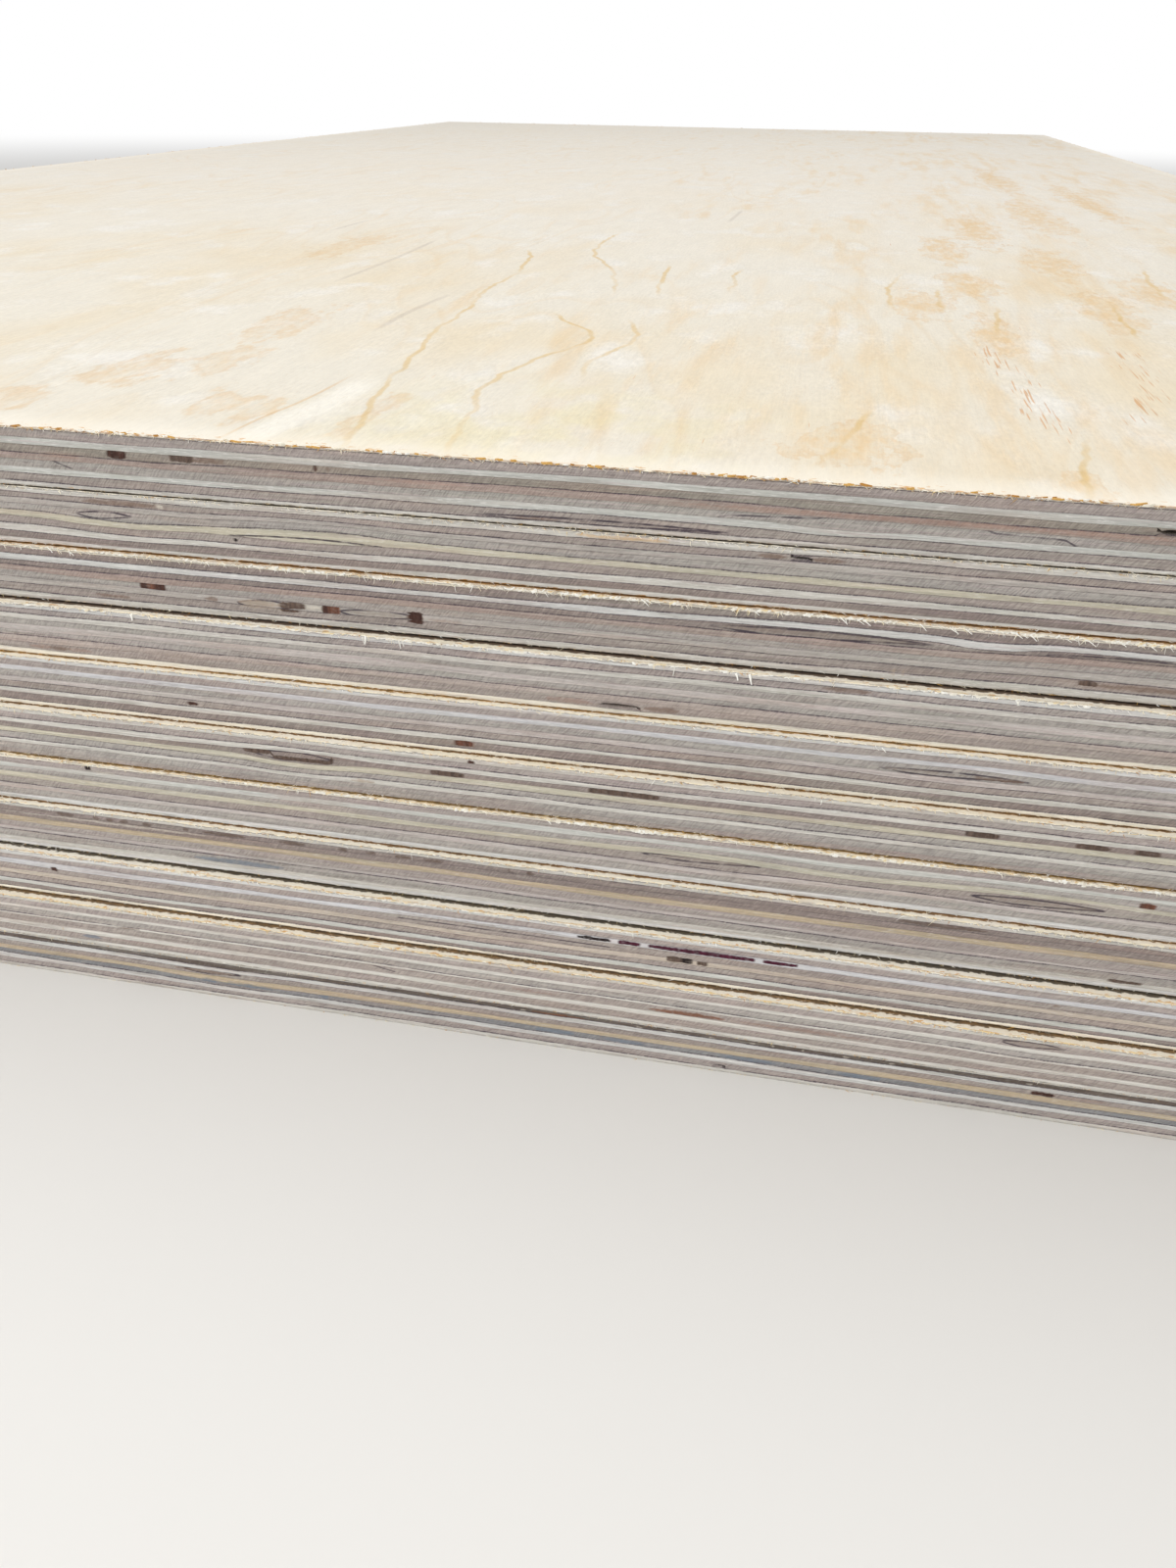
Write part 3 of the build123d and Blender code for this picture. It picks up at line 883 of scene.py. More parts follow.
def splinters(number, chance):
    """Splinters that hang over the upper arris, the long ones of the table last."""
    to_a_mm, size = HANGING_SPLINTERS.get(number, (0.05, 1.3))
    long_ones = [near_run(number, x) for x in LONG_SPLINTERS.get(number, ())]
    s = np.concatenate([window_and_round(number, to_a_mm, to_a_mm * 0.25, chance), long_ones])
    count = len(s)
    is_long = np.arange(count) >= count - len(long_ones)
    place, ahead, outwards = on_outline(number, s)
    roots = np.column_stack([place - outwards * 0.3, end_top(number) - chance.uniform(0.1, 0.7, count)])
    along = np.where(is_long, SPLINTER_LEANS.get(number, 0.6) + chance.uniform(-0.3, 0.3, count),
                     chance.uniform(-0.4, 1.4, count))
    axes = pointing(ahead, outwards, along, chance.uniform(0.1, 0.45, count), -0.8)
    lengths = np.where(is_long, chance.uniform(1.8, 3.2, count), size * chance.uniform(0.5, 1.3, count))
    widths = np.where(is_long, SPLINTER_WIDTHS.get(number, 0.8), chance.uniform(0.25, 0.5, count))
    kinds = np.where(is_long, tones_of("white"), chance.choice(tones_of("cream", "straw", "white"), count))
    return scatter(SPLINTER, roots, axes, lengths, widths, chance.uniform(-0.35, 0.35, count), kinds)


def flakes(number, first, last, drop, leaning, chance):
    """Wide flakes of face veneer that hang down over a stretch of the upper arris and curl."""
    s = near_run(number, np.sort(chance.uniform(first, last, round(1.5 * (last - first)))))
    s = s[wander(s, 34.0, chance) > -0.2]
    count = len(s)
    place, ahead, outwards = on_outline(number, s)
    roots = np.column_stack([place + outwards * 0.02, end_top(number) - chance.uniform(0.0, 0.25, count)])
    out = chance.uniform(0.02, 0.2, count)
    axes = pointing(ahead, outwards, leaning * chance.uniform(-0.4, 1.4, count), out, -0.9)
    lengths = 0.75 + 0.35 * wander(s, 14.0, chance) + chance.gamma(1.2, 0.16, count)
    lengths = drop * lengths.clip(0.25, 1.9)
    widths = chance.uniform(1.0, 2.6, count)
    kinds = chance.choice(tones_of("bone", "cream", "white", "honey"), count, p=[0.35, 0.25, 0.25, 0.15])
    bends = chance.uniform(-0.2, 0.3, count)
    curl = chance.uniform(0.05, 0.4, count)[:, None]
    return scatter(FLAKE, roots, axes, lengths, widths, bends, kinds, 0.12, curl,
                   np.column_stack([outwards, np.zeros(count)]), tones_of("white")[0])


def chips(number, chance):
    """Short wide chips of face veneer that stand up along the upper arris."""
    s = window_and_round(number, 0.5, 0.12, chance)
    s = s[wander(s, 30.0, chance) > -0.45]
    count = len(s)
    place, ahead, outwards = on_outline(number, s)
    roots = np.column_stack([place - outwards * chance.uniform(-0.1, 0.9, count)[:, None],
                             np.full(count, end_top(number) - 0.2)])
    axes = pointing(ahead, outwards, chance.uniform(-0.2, 0.2, count), 0.35, 1.0)
    lengths = chance.uniform(0.35, 0.75, count)
    widths = 0.9 + chance.gamma(1.5, 0.9, count).clip(0, 3.5)
    kinds = chance.choice(tones_of("gold", "amber", "white", "cream"), count, p=[0.4, 0.2, 0.25, 0.15])
    return scatter(FLAKE, roots, axes, lengths, widths, chance.uniform(-0.2, 0.2, count), kinds, 0.12, 0.0,
                   np.column_stack([outwards, np.zeros(count)]))


def fibre_mesh(number):
    """All the fibres of one sheet as one mesh, kept near its edges and over its underside."""
    chance = np.random.default_rng(500 + number)
    parts = [fuzz(number, True, chance), fuzz(number, False, chance), splinters(number, chance)]
    parts += [flakes(number, *stretch, chance) for stretch in FLAKES.get(number, ())]
    if number in CHIPPED:
        parts.append(chips(number, chance))
    every_point, every_face, every_colour, every_place = zip(*parts)
    starts = np.cumsum([0] + [len(points) for points in every_point])
    faces = np.concatenate([faces + start for faces, start in zip(every_face, starts)])
    low, high = (np.array(corner) for corner in boxes[number])
    lowest = [*(low[:2] + high[:2] - (width, length)) / 2 - FIBRE_REACH, low[2] + 0.05]
    highest = [*(low[:2] + high[:2] + (width, length)) / 2 + FIBRE_REACH, 1e4]
    mesh = bpy.data.meshes.new(f"fibres_{number:02d}")
    mesh.from_pydata(np.concatenate(every_point).clip(lowest, highest) * MM, [], faces)
    write_attribute(mesh, "ply_tone", np.concatenate(every_colour)[faces.ravel()])
    write_map(mesh, "OFBake", np.concatenate(every_place)[faces.ravel()])
    return mesh


# Materials

def start_material(name):
    """A new node material, its tree and its main shader."""
    material = bpy.data.materials.new(name)
    material.use_nodes = True
    return material, material.node_tree, material.node_tree.nodes["Principled BSDF"]


def finish_wood(tree, shader, colour, roughness):
    """Gives a shader the colour and the dull gloss of bare wood."""
    tree.links.new(colour, shader.inputs["Base Color"])
    shader.inputs["Roughness"].default_value = roughness
    shader.inputs["IOR"].default_value = 1.5
    shader.inputs["Specular IOR Level"].default_value = 0.3


def grain_noise(tree, place, size, detail=3.0, roughness=0.6):
    """Noise drawn out to a real size: the millimetres that one cell of it measures along each axis. For
    the face veneer two are enough, because it hardly changes through its thickness."""
    sizes = (*size, THROUGH_VENEER)[:3]
    stretched = add(tree, "VectorMath", {0: place, 1: [1 / mm for mm in sizes]}, operation="MULTIPLY")
    return add(tree, "TexNoise", {"Vector": stretched, "Scale": 1.0, "Detail": detail,
                                  "Roughness": roughness})


def tinted(tree, under, over, pattern, start=0.0, full=1.0, most=1.0):
    """Lays a colour over another where a pattern runs from start to full."""
    amount = add(tree, "MapRange", {0: pattern, 1: start, 2: full, 3: 0.0, 4: most},
                 interpolation_type="SMOOTHSTEP")
    under, over = (linear(colour) if isinstance(colour, str) else colour for colour in (under, over))
    return add(tree, "Mix", {0: amount, 6: under, 7: over}, 2, data_type="RGBA")


def layered(tree, colour, *layers):
    """Lays several colours over another, one after the other."""
    for layer in layers:
        colour = tinted(tree, colour, *layer)
    return colour


def shaded(tree, colour, pattern, darkest, lightest):
    """Darkens and lightens a colour with a pattern of noise."""
    shade = add(tree, "MapRange", {0: pattern, 1: 0.3, 2: 0.7, 3: darkest, 4: lightest})
    grey = add(tree, "CombineColor", {0: shade, 1: shade, 2: shade})
    return add(tree, "Mix", {0: 1.0, 6: colour, 7: grey}, 2, data_type="RGBA", blend_type="MULTIPLY")


def strongest(tree, patterns):
    """The strongest of several patterns at each place."""
    total = patterns[0]
    for pattern in patterns[1:]:
        total = add(tree, "Math", {0: total, 1: pattern}, operation="MAXIMUM")
    return total


def together(tree, *patterns):
    """How strongly several patterns show together: one after the other weakens the first."""
    total = patterns[0]
    for pattern in patterns[1:]:
        total = add(tree, "Math", {0: total, 1: pattern}, operation="MULTIPLY")
    return total


def distance_from(tree, place, line):
    """How far a place lies from a line, to either side."""
    offset = add(tree, "Math", {0: place, 1: line}, operation="SUBTRACT")
    return add(tree, "Math", {0: offset}, operation="ABSOLUTE")


def streaked_ply(tree, here, tone):
    """A ply's tone with soft streaks along it, and with warmer, cooler and darker stretches."""
    streaks = grain_noise(tree, here, (30.0, 0.7, 0.27))
    patches = grain_noise(tree, here, (60.0, 5.0, 0.19), 2.0)
    shades = grain_noise(tree, here, (24.0, 3.0, 0.31), 2.0)
    hues = grain_noise(tree, here, (26.0, 0.5, 0.53))
    colour = layered(tree, tone, ("B89F90", patches, 0.5, 0.72, 0.3), ("B9B7AC", patches, 0.48, 0.3, 0.25),
                     ("8F857C", shades, 0.55, 0.78, 0.35), ("C0ABAC", hues, 0.54, 0.7, 0.4),
                     ("A9A99D", hues, 0.46, 0.3, 0.35))
    return shaded(tree, colour, streaks, 0.82, 1.14)


def saw_strokes(tree, colour, here, rough):
    """Short dark strokes in the rough plies, and fluffy white ones where the saw frayed a smooth ply."""
    strokes = grain_noise(tree, here, (3.4, 0.34, 0.41), 2.0)
    smooth = add(tree, "Math", {0: 1.0, 1: rough}, operation="SUBTRACT")
    dark = together(tree, add(tree, "MapRange", {0: strokes, 1: 0.58, 2: 0.7}), rough)
    white = together(tree, add(tree, "MapRange", {0: strokes, 1: 0.46, 2: 0.32}), smooth)
    return layered(tree, colour, ("6C5F59", dark, 0.0, 1.0, 0.4), ("EDEBE6", white, 0.0, 1.0, 0.45))


def knife_marks(tree, colour, leaning_place, rough):
    """Marks of the lathe's knife, about one a millimetre, that lean across the rough plies, and how deep
    each is."""
    checks = grain_noise(tree, leaning_place, (0.5, 2.6, 0.34), 2.0, 0.5)
    dark = together(tree, add(tree, "MapRange", {0: checks, 1: 0.45, 2: 0.68}), rough)
    pale = together(tree, add(tree, "MapRange", {0: checks, 1: 0.5, 2: 0.3}), rough)
    return layered(tree, colour, ("6F6464", dark, 0.0, 1.0, 0.3), ("CFC4B8", pale, 0.0, 1.0, 0.2)), dark


def lap_lines(tree, colour, down, fading):
    """Thin dark lines where veneers overlap."""
    laps = add(tree, "Attribute", {}, "Vector", attribute_name="laps")
    upper, lower, strength = add(tree, "SeparateXYZ", {0: laps}).node.outputs
    distances = {key: distance_from(tree, down, line) for key, line in enumerate((upper, lower))}
    line = add(tree, "MapRange", {0: add(tree, "Math", distances, operation="MINIMUM"), 1: 0.4, 2: 0.16})
    return tinted(tree, colour, "3E3440", together(tree, line, strength, fading), 0.0, 0.9, 0.9)


def glue_lines(tree, colour, leaning_place, fading):
    """Glue lines, beaded by the knife marks and stronger between some plies than others."""
    glue = add(tree, "Attribute", {}, "Vector", attribute_name="glue_line")
    across, strength, _ = add(tree, "SeparateXYZ", {0: glue}).node.outputs
    near = add(tree, "MapRange", {0: across, 1: 0.78, 2: 0.97})
    beads = grain_noise(tree, leaning_place, (0.55, 6.0, 50.0), 2.0)
    beading = add(tree, "MapRange", {0: beads, 1: 0.25, 2: 0.6, 3: 0.35, 4: 1.0})
    amount = together(tree, near, strength, beading, fading)
    return tinted(tree, colour, "463C48", amount, 0.0, 0.85, 0.9)


def knots_and_stains(tree, colour, here, down):
    """Knots and stains with ragged outlines. The upright ones have fibres that stand across the ply."""
    spot, _, _, cover = add(tree, "Attribute", {}, attribute_name="spots").node.outputs
    span = add(tree, "Attribute", {}, "Vector", attribute_name="spot_span")
    top, bottom, upright = add(tree, "SeparateXYZ", {0: span}).node.outputs
    ragged = grain_noise(tree, here, (2.2, 0.7, 0.23), 3.0)
    centred = add(tree, "Math", {0: ragged, 1: 0.5}, operation="SUBTRACT")
    waver = add(tree, "MapRange", {0: upright, 3: 1.6, 4: 0.9})
    wavering = add(tree, "Math", {0: centred, 1: waver, 2: down}, operation="MULTIPLY_ADD")
    softness = add(tree, "MapRange", {0: upright, 3: 0.35, 4: 0.1})
    inside = []
    for deeper, limit in ((wavering, top), (bottom, wavering)):
        depth = add(tree, "Math", {0: deeper, 1: limit}, operation="SUBTRACT")
        depth = add(tree, "Math", {0: depth, 1: softness}, operation="DIVIDE")
        inside.append(add(tree, "MapRange", {0: depth, 1: -1.0, 2: 1.0}))
    frayed = grain_noise(tree, here, (1.6, 1.2, 0.41), 2.0)
    frayed_cover = add(tree, "MapRange", {0: frayed, 1: 0.3, 2: 0.55, 3: 0.75, 4: 1.0})
    ragged_end = add(tree, "Math", {0: ragged, 1: 1.3, 2: cover}, operation="MULTIPLY_ADD")
    shown = add(tree, "MapRange", {0: ragged_end, 1: 0.75, 2: 1.1})
    amount = together(tree, *inside, frayed_cover, shown, cover)
    barred = shaded(tree, spot, grain_noise(tree, here, (0.9, 9.0, 0.29), 2.0), 0.6, 1.35)
    mottled = shaded(tree, spot, grain_noise(tree, here, (5.0, 0.5, 0.33), 3.0), 0.8, 1.25)
    spot_tone = add(tree, "Mix", {0: upright, 6: mottled, 7: barred}, 2, data_type="RGBA")
    return tinted(tree, colour, spot_tone, amount)


def torn_lip(tree, colour, here, down, broken):
    """A ragged lip of torn face veneer along the upper arris, bright along its lower edge, with a shadow
    under it."""
    lip = add(tree, "Attribute", {}, "Fac", attribute_name="torn_lip")
    jags = grain_noise(tree, here, (3.0, 60.0, 0.5), 4.0, 0.65)
    jag_reach = add(tree, "MapRange", {0: jags, 1: 0.3, 2: 0.7, 3: 0.4, 4: 1.45})
    under_lip = add(tree, "Math", {0: down, 1: together(tree, lip, jag_reach)}, operation="SUBTRACT")
    breaks = add(tree, "MapRange", {0: broken, 1: 0.4, 2: 0.54, 3: 0.22, 4: 0.0})
    rim = add(tree, "Math", {0: distance_from(tree, under_lip, -0.18), 1: breaks}, operation="ADD")
    return layered(tree, colour, ("5F5654", under_lip, 0.45, 0.1, 0.5),
                   ("CFC6BA", under_lip, 0.05, -0.05, 0.75), ("F8F1E0", rim, 0.3, 0.12, 0.95))


def torn_arrises(tree, colour, here, down, broken):
    """A thin broken line of torn wood in each arris. At the lower arris of sheets 9 and 4 it is partly
    painted shade of the open joint below.
    """
    from_bottom = add(tree, "Math", {0: END_THICKNESS, 1: down}, operation="SUBTRACT")
    from_arris = add(tree, "Math", {0: down, 1: from_bottom}, operation="MINIMUM")
    tone, _, _, cover = add(tree, "Attribute", {}, attribute_name="arris_tone").node.outputs
    bits = grain_noise(tree, here, (3.2, 0.6, 0.37), 3.0)
    bit_reach = add(tree, "MapRange", {0: bits, 1: 0.34, 2: 0.66, 3: 0.0, 4: 0.5})
    over_arris = add(tree, "Math", {0: bit_reach, 1: from_arris}, operation="SUBTRACT")
    line = add(tree, "MapRange", {0: over_arris, 1: -0.06, 2: 0.06})
    breaks = add(tree, "MapRange", {0: broken, 1: 0.36, 2: 0.54, 3: 0.45, 4: 1.0})
    light_bits = grain_noise(tree, here, (0.9, 0.5, 0.61), 2.0)
    tone = tinted(tree, tone, "F0DCAE", light_bits, 0.56, 0.64, 0.7)
    return tinted(tree, colour, tone, together(tree, line, cover, breaks))


def sawn_plywood():
    """Sawn plywood edge: matt wood with one tone to a ply, thin broken purple glue lines, fine diagonal
    knife marks on the rough plies, and knots and laps where the veneers were patched."""
    material, tree, shader = start_material("sawn_plywood_edge")
    edge_place = add(tree, "UVMap", {}, uv_map="SawnEdge")
    along, down, _ = add(tree, "SeparateXYZ", {0: edge_place}).node.outputs
    ply = add(tree, "Attribute", {}, "Fac", attribute_name="ply_number")
    here = add(tree, "CombineXYZ", {0: along, 1: down, 2: ply})
    leaning = add(tree, "Math", {0: down, 1: 0.8, 2: along}, operation="MULTIPLY_ADD")
    leaning_place = add(tree, "CombineXYZ", {0: leaning, 1: down, 2: ply})
    tone, _, _, rough = add(tree, "Attribute", {}, attribute_name="ply_tone").node.outputs
    fibres = grain_noise(tree, here, (3.2, 0.2, 0.12), 4.0, 0.7)
    broken = grain_noise(tree, here, (6.0, 3.0, 0.8), 3.0)
    fading = add(tree, "MapRange", {0: broken, 1: 0.34, 2: 0.56, 3: 0.3, 4: 1.0})

    colour = shaded(tree, streaked_ply(tree, here, tone), fibres, 0.83, 1.15)
    colour = saw_strokes(tree, colour, here, rough)
    colour, check_depth = knife_marks(tree, colour, leaning_place, rough)
    colour = lap_lines(tree, colour, down, fading)
    colour = glue_lines(tree, colour, leaning_place, fading)
    colour = knots_and_stains(tree, colour, here, down)
    colour = torn_lip(tree, colour, here, down, broken)
    colour = torn_arrises(tree, colour, here, down, broken)
    finish_wood(tree, shader, colour, 0.8)
    relief = add(tree, "Math", {0: fibres, 1: check_depth}, operation="SUBTRACT")
    bump = add(tree, "Bump", {"Strength": 0.6, "Distance": 0.0002, "Height": relief})
    tree.links.new(bump, shader.inputs["Normal"])
    return material


def line_along_grain(tree, across, along, points, half_width):
    """How strongly a thin line shows that runs along the grain through some points."""
    reach, left, spread, fade = 800.0, -200.0, 700.0, 12
    first, last = points[0][1], points[-1][1]
    far = add(tree, "Math", {0: along, 1: reach}, operation="DIVIDE")
    bend = add(tree, "FloatCurve", {1: far})
    curve = bend.node.mapping.curves[0]
    places = [(y / reach, (x - left) / spread) for x, y in points]
    curve.points[0].location, curve.points[1].location = places[0], places[-1]
    for place in places[1:-1]:
        curve.points.new(*place)
    bend.node.mapping.update()
    middle = add(tree, "Math", {0: bend, 1: spread, 2: left}, operation="MULTIPLY_ADD")
    distance = distance_from(tree, across, middle)
    line = add(tree, "MapRange", {0: distance, 1: half_width, 2: 0.2 * half_width},
               interpolation_type="SMOOTHSTEP")
    starts = add(tree, "MapRange", {0: along, 1: first - fade, 2: first + fade})
    ends = add(tree, "MapRange", {0: along, 1: last + fade, 2: last - fade})
    return together(tree, line, starts, ends)


def lines_along_grain(tree, across, along, lines, half_width):
    """The strongest of several such lines."""
    return strongest(tree, [line_along_grain(tree, across, along, points, half_width) for points in lines])


def oval_patch(tree, across, along, fringe, x, y, half_width, half_length):
    """How strongly a soft patch shows that is drawn out along the grain and has a ragged rim."""
    offset = add(tree, "CombineXYZ", {
        key: add(tree, "Math", {0: place, 1: 1 / half, 2: -middle / half}, operation="MULTIPLY_ADD")
        for key, (place, middle, half) in enumerate(((across, x, half_width), (along, y, half_length)))})
    distance = add(tree, "VectorMath", {0: offset}, "Value", operation="LENGTH")
    ragged = add(tree, "Math", {0: fringe, 1: 3.2, 2: distance}, operation="MULTIPLY_ADD")
    return add(tree, "MapRange", {0: ragged, 1: 3.1, 2: 1.9}, interpolation_type="SMOOTHSTEP")


def veneer_ground(tree, place, along, clouds):
    """The veneer's own cream, with broad soft changes of tone, paler away from the near end."""
    tones = grain_noise(tree, place, (110.0, 240.0), 3.0)
    wisps = grain_noise(tree, place, (9.0, 38.0), 4.0, 0.7)
    far_off = add(tree, "MapRange", {0: along, 1: 0.0, 2: 1100.0})
    colour = layered(tree, "E9E2D3", ("E8DABF", tones, 0.4, 0.7), ("EFE8DC", far_off, 0.0, 1.0, 0.8),
                     ("F0ECE4", clouds, 0.52, 0.7, 0.7))
    return shaded(tree, colour, wisps, 0.955, 1.02)


def tan_figure(tree, colour, place, across, along, figured):
    """Tan figure drawn out along the grain, most of it on the right: faint by chance, and stronger and
    mottled in the patches of the table, which have darker rims."""
    figure = grain_noise(tree, place, (15.0, 105.0), 4.0)
    to_right = add(tree, "MapRange", {0: across, 1: -150.0, 2: 330.0, 3: -0.06, 4: 0.09})
    level = add(tree, "Math", {0: figure, 1: to_right}, operation="ADD")
    faint = together(tree, add(tree, "MapRange", {0: level, 1: 0.5, 2: 0.72}), figured)
    fringe = grain_noise(tree, place, (11.0, 24.0), 4.0, 0.65)
    ovals = strongest(tree, [oval_patch(tree, across, along, fringe, *patch) for patch in FIGURE_PATCHES])
    stronger = add(tree, "MapRange", {0: across, 1: 110.0, 2: 260.0, 3: 0.42, 4: 1.0})
    patches = together(tree, ovals, stronger)
    mottle = grain_noise(tree, place, (6.0, 15.0), 3.0, 0.65)
    mottled = add(tree, "MapRange", {0: mottle, 1: 0.34, 2: 0.62, 3: 0.35, 4: 1.0})
    rim = together(tree, add(tree, "MapRange", {0: patches, 1: 0.1, 2: 0.28}),
                   add(tree, "MapRange", {0: patches, 1: 0.5, 2: 0.32}), mottled)
    broken_patches = together(tree, patches, mottled)
    return layered(tree, colour, ("E6C796", faint, 0.0, 1.0, 0.4),
                   ("E3BE84", broken_patches, 0.0, 1.0, 0.62), ("D9AC68", rim, 0.0, 1.0, 0.3))


def sapwood(tree, colour, place, across, along):
    """Yellow-green sapwood near the end, to the right of the middle."""
    sappy = grain_noise(tree, place, (34.0, 44.0), 3.0)
    stretch = oval_patch(tree, across, along, sappy, 150.0, 30.0, 95.0, 95.0)
    level = together(tree, stretch, add(tree, "MapRange", {0: sappy, 1: 0.42, 2: 0.6}))
    return tinted(tree, colour, "E6DAAA", level, most=0.45)


def growth_rings(tree, colour, place, across, along, figured):
    """Growth rings: faint level lines of one slow field, then those of the table, which swing and fade."""
    field = grain_noise(tree, place, (95.0, 420.0), 2.0, 0.4)
    rings_passed = add(tree, "Math", {0: field, 1: 13.0}, operation="MULTIPLY")
    turn = add(tree, "Math", {0: rings_passed}, operation="FRACT")
    rises = add(tree, "MapRange", {0: turn, 1: 0.0, 2: 0.1})
    falls = add(tree, "MapRange", {0: turn, 1: 0.35, 2: 0.1})
    swing = grain_noise(tree, place, (40.0, 22.0), 2.0)
    swung = add(tree, "Math", {0: swing, 1: 8.0, 2: across}, operation="MULTIPLY_ADD")
    swung = add(tree, "Math", {0: swung, 1: 4.0}, operation="SUBTRACT")
    fading = grain_noise(tree, place, (20.0, 60.0), 2.0)
    fade = add(tree, "MapRange", {0: fading, 1: 0.36, 2: 0.62, 3: 0.4, 4: 1.0})
    rings = together(tree, lines_along_grain(tree, swung, along, RING_LINES, 1.9), fade)
    return layered(tree, colour, ("DFBC84", together(tree, rises, falls, figured), 0.0, 1.0, 0.14),
                   ("DBB76C", rings, 0.0, 1.0, 0.6))


def fold_and_streaks(tree, colour, across, along):
    """The thin tan line of a fold with the paler strip beyond it, and a few grey streaks."""
    beyond_fold = [(x + 9, y) for x, y in FOLD]
    return layered(tree, colour,
                   ("F8F4EA", line_along_grain(tree, across, along, beyond_fold, 9.0), 0.0, 1.0, 0.6),
                   ("D8AE72", line_along_grain(tree, across, along, FOLD, 1.1), 0.0, 1.0, 0.45),
                   ("B5A89C", lines_along_grain(tree, across, along, DARK_STREAKS, 2.4), 0.0, 1.0, 0.3))


def mineral_dashes(tree, colour, place, across, along):
    """Orange mineral dashes in two bands on the right."""
    dashes = grain_noise(tree, place, (1.0, 26.0), 1.0)
    bands = lines_along_grain(tree, across, along, DASH_BANDS, 11.0)
    level = add(tree, "Math", {0: bands, 1: 0.2, 2: dashes}, operation="MULTIPLY_ADD")
    return tinted(tree, colour, "D2944C", level, 0.77, 0.85, 0.65)


def grain_and_pores(tree, colour, place, clouds, grain):
    """Fine grain, a little fuzz left by the sander, and short pores."""
    colour = shaded(tree, colour, grain, 0.965, 1.025)
    fuzzy = shaded(tree, colour, grain_noise(tree, place, (1.5, 5.0), 3.0, 0.65), 0.9, 1.06)
    fuzzy_where = add(tree, "MapRange", {0: clouds, 1: 0.38, 2: 0.6, 3: 0.4, 4: 1.0})
    colour = add(tree, "Mix", {0: fuzzy_where, 6: colour, 7: fuzzy}, 2, data_type="RGBA")
    return tinted(tree, colour, "D2B78E", grain_noise(tree, place, (0.45, 2.4), 1.0), 0.6, 0.75, 0.3)


def arris_specks_and_dust(tree, colour, place):
    """Gold specks where the veneer frays at the arris, and painted shade in the joint between two sheets:
    the face is darkened where it lies under the next sheet.
    """
    near_arris = add(tree, "Attribute", {}, "Fac", attribute_name="near_arris")
    flecks = grain_noise(tree, place, (3.4, 1.2, 1.1), 2.0)
    fleck_level = add(tree, "Math", {0: flecks, 1: 3.0, 2: near_arris}, operation="MULTIPLY_ADD")
    covered = add(tree, "Attribute", {}, "Fac", attribute_name="covered")
    specks = grain_noise(tree, place, (2.0, 0.8, 1.1), 2.0)
    ragged_joint = add(tree, "Math", {0: specks, 1: 2.8, 2: covered}, operation="MULTIPLY_ADD")
    # Painted shade in the joint, from just inside the next sheet's edge inwards
    joint = together(tree, add(tree, "MapRange", {0: ragged_joint, 1: 1.0, 2: 1.5}),
                     add(tree, "MapRange", {0: covered, 1: 14.0, 2: 7.0}))
    joint_shade_tone = add(tree, "Attribute", {}, "Color", attribute_name="joint_shade_tone")
    joint_shade = shaded(tree, joint_shade_tone, specks, 1.6, 0.4)
    return layered(tree, colour, ("FAF3E4", near_arris, -0.6, 1.0, 0.5),
                   ("D9A050", fleck_level, 2.84, 2.96, 0.8), (joint_shade, joint, 0.0, 1.0, 0.9))


def sanded_face():
    """Drum-sanded, rotary-cut face veneer: satin cream wood with faint tan growth rings and patches
    drawn out along the grain, orange mineral dashes and fine short pores."""
    material, tree, shader = start_material("sanded_face_veneer")
    object_place = add(tree, "TexCoord", {}, "Object")
    from_near_end = (-middle_of_top, -top_low[1], 0.0)
    place = add(tree, "VectorMath", {0: object_place, 1: [1 / MM] * 3, 2: from_near_end},
                operation="MULTIPLY_ADD")
    across, along, _ = add(tree, "SeparateXYZ", {0: place}).node.outputs
    clouds = grain_noise(tree, place, (36.0, 60.0), 3.0)
    figure_where = grain_noise(tree, place, (75.0, 330.0), 2.0)
    figured = add(tree, "MapRange", {0: figure_where, 1: 0.36, 2: 0.6})
    grain = grain_noise(tree, place, (0.8, 22.0), 3.0)

    colour = veneer_ground(tree, place, along, clouds)
    colour = tan_figure(tree, colour, place, across, along, figured)
    colour = sapwood(tree, colour, place, across, along)
    colour = growth_rings(tree, colour, place, across, along, figured)
    colour = fold_and_streaks(tree, colour, across, along)
    colour = mineral_dashes(tree, colour, place, across, along)
    colour = grain_and_pores(tree, colour, place, clouds, grain)
    colour = arris_specks_and_dust(tree, colour, place)
    finish_wood(tree, shader, colour, 0.55)
    bump = add(tree, "Bump", {"Strength": 0.12, "Distance": 0.0001, "Height": grain})
    tree.links.new(bump, shader.inputs["Normal"])
    return material


def torn_fibres():
    """Torn wood fibres: thin, dry and pale, some gold, each a little uneven in tone."""
    material, tree, shader = start_material("torn_wood_fibre")
    tone = add(tree, "Attribute", {}, "Color", attribute_name="ply_tone")
    place = add(tree, "TexCoord", {}, "Object")
    in_mm = add(tree, "VectorMath", {0: place, 1: [1 / MM] * 3}, operation="MULTIPLY")
    strands = grain_noise(tree, in_mm, (0.8, 0.8, 0.8), 2.0)
    finish_wood(tree, shader, shaded(tree, tone, strands, 0.92, 1.06), 0.75)
    return material


# Build the stack

def as_piece(mesh):
    """An object for a mesh, in the scene."""
    piece = bpy.data.objects.new(mesh.name, mesh)
    bpy.context.collection.objects.link(piece)
    return piece


edge_material, face_material, fibre_material = sawn_plywood(), sanded_face(), torn_fibres()
for number in SHEETS:
    piece = as_piece(build_sheet(number))
    for material in (edge_material, face_material, fibre_material):
        piece.data.materials.append(material)
    fibres = as_piece(fibre_mesh(number))
    fibres.data.materials.append(fibre_material)
    with bpy.context.temp_override(active_object=piece, selected_editable_objects=[piece, fibres]):
        bpy.ops.object.join()
    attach(piece, "root")
    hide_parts(f"sheet_{number:02d}")
bpy.data.meshes.remove(skin)


# Studio

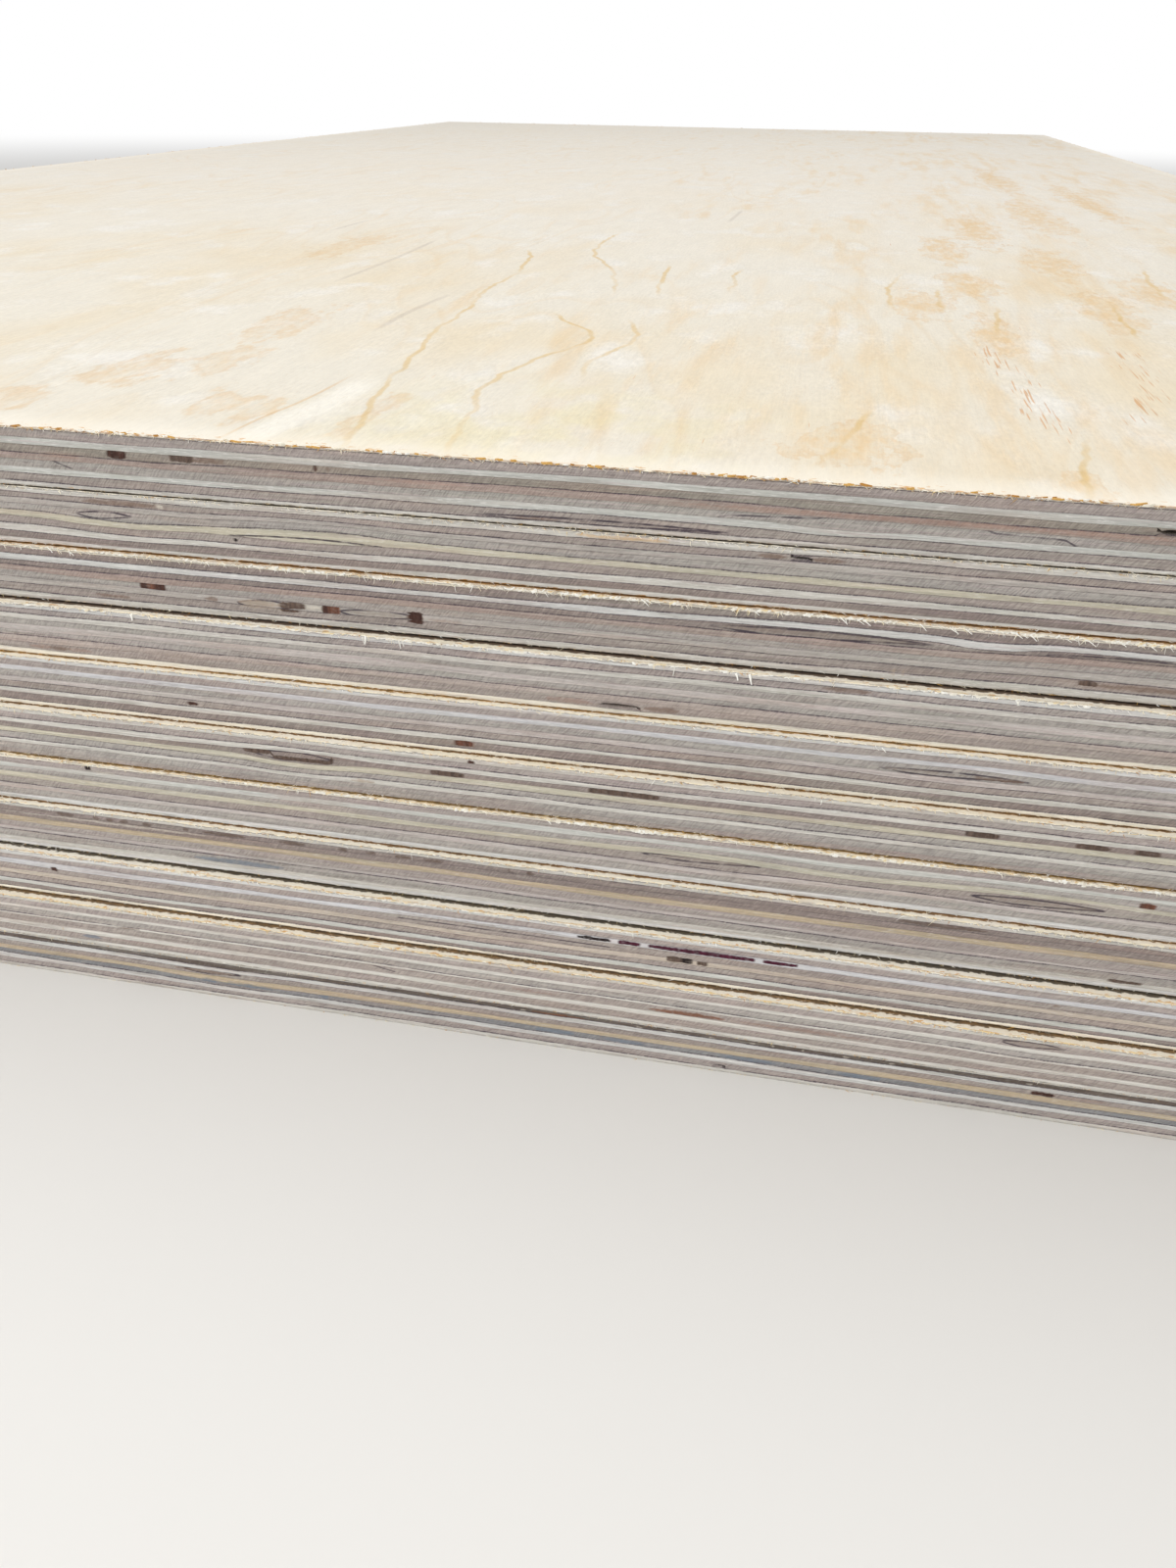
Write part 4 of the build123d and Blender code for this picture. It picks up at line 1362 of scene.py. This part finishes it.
def pale_floor():
    """A plain pale floor that the bottom sheet lies on. Far off it turns as white as the room."""
    bm = bmesh.new()
    bmesh.ops.create_grid(bm, x_segments=1, y_segments=1, size=60.0)
    mesh = bpy.data.meshes.new("studio_floor")
    bm.to_mesh(mesh)
    bm.free()
    floor = as_piece(mesh)
    material, tree, shader = start_material("pale_floor")
    shader.inputs["Base Color"].default_value = linear("E6E4E0")
    shader.inputs["Roughness"].default_value = 0.8
    place = add(tree, "TexCoord", {}, "Object")
    distance = add(tree, "VectorMath", {0: place}, "Value", operation="LENGTH")
    far = add(tree, "MapRange", {0: distance, 1: 2.0, 2: 6.0}, interpolation_type="SMOOTHSTEP")
    seen = add(tree, "LightPath", {}, "Is Camera Ray")
    white = add(tree, "Emission", {"Color": (1.0, 1.0, 1.0, 1.0), "Strength": 1.0})
    amount = add(tree, "Math", {0: far, 1: seen}, operation="MULTIPLY")
    surface = add(tree, "MixShader", {0: amount, 1: shader.outputs[0], 2: white})
    tree.links.new(surface, tree.nodes["Material Output"].inputs["Surface"])
    mesh.materials.append(material)


def soft_lamp(name, place, aim, size, watts):
    """A square soft box."""
    lamp = bpy.data.lights.new(name, "AREA")
    lamp.size = size
    lamp.energy = watts
    holder = bpy.data.objects.new(name, lamp)
    bpy.context.collection.objects.link(holder)
    holder.location = place
    holder.rotation_euler = (Vector(aim) - Vector(place)).to_track_quat("-Z", "Y").to_euler()


def studio_world():
    """An even white room: soft light on the sheets, plain white where the camera looks past them."""
    world = bpy.data.worlds.new("white_room")
    bpy.context.scene.world = world
    world.use_nodes = True
    tree = world.node_tree
    background = tree.nodes["Background"]
    camera_ray = add(tree, "LightPath", {}, "Is Camera Ray")
    strength = add(tree, "MapRange", {0: camera_ray, 1: 0.0, 2: 1.0, 3: 0.5, 4: 1.0})
    tree.links.new(strength, background.inputs["Strength"])
    background.inputs["Color"].default_value = (1.0, 1.0, 1.0, 1.0)


def photo_camera():
    """The camera of the photograph, a phone held over the near end. The image is 1200 by 1600."""
    focal_pixels, image_height, sensor = 1186.9, 1600, 36.0
    lens = bpy.data.cameras.new("photo_camera")
    lens.sensor_width = sensor
    lens.lens = focal_pixels * sensor / image_height
    lens.clip_start = 0.01
    right, down, ahead = (Vector((0.98104, 0.19336, 0.01309)), Vector((0.11176, -0.50928, -0.85331)),
                          Vector((-0.15833, 0.8386, -0.52124)))
    camera = bpy.data.objects.new("photo_camera", lens)
    bpy.context.collection.objects.link(camera)
    turn = Matrix((right, -down, -ahead)).transposed().to_4x4()
    camera.matrix_world = Matrix.Translation((0.2338, -1.52175, 0.2948)) @ turn
    bpy.context.scene.camera = camera


pale_floor()
studio_world()
soft_lamp("overhead_lamp", (0.25, 0.3, 3.2), (0.0, 0.0, 0.1), 3.5, 51.5)
soft_lamp("front_lamp", (-1.05, -2.65, 1.9), (0.05, -1.2, 0.1), 1.6, 38.0)
photo_camera()
bpy.context.scene.view_settings.view_transform = "Standard"
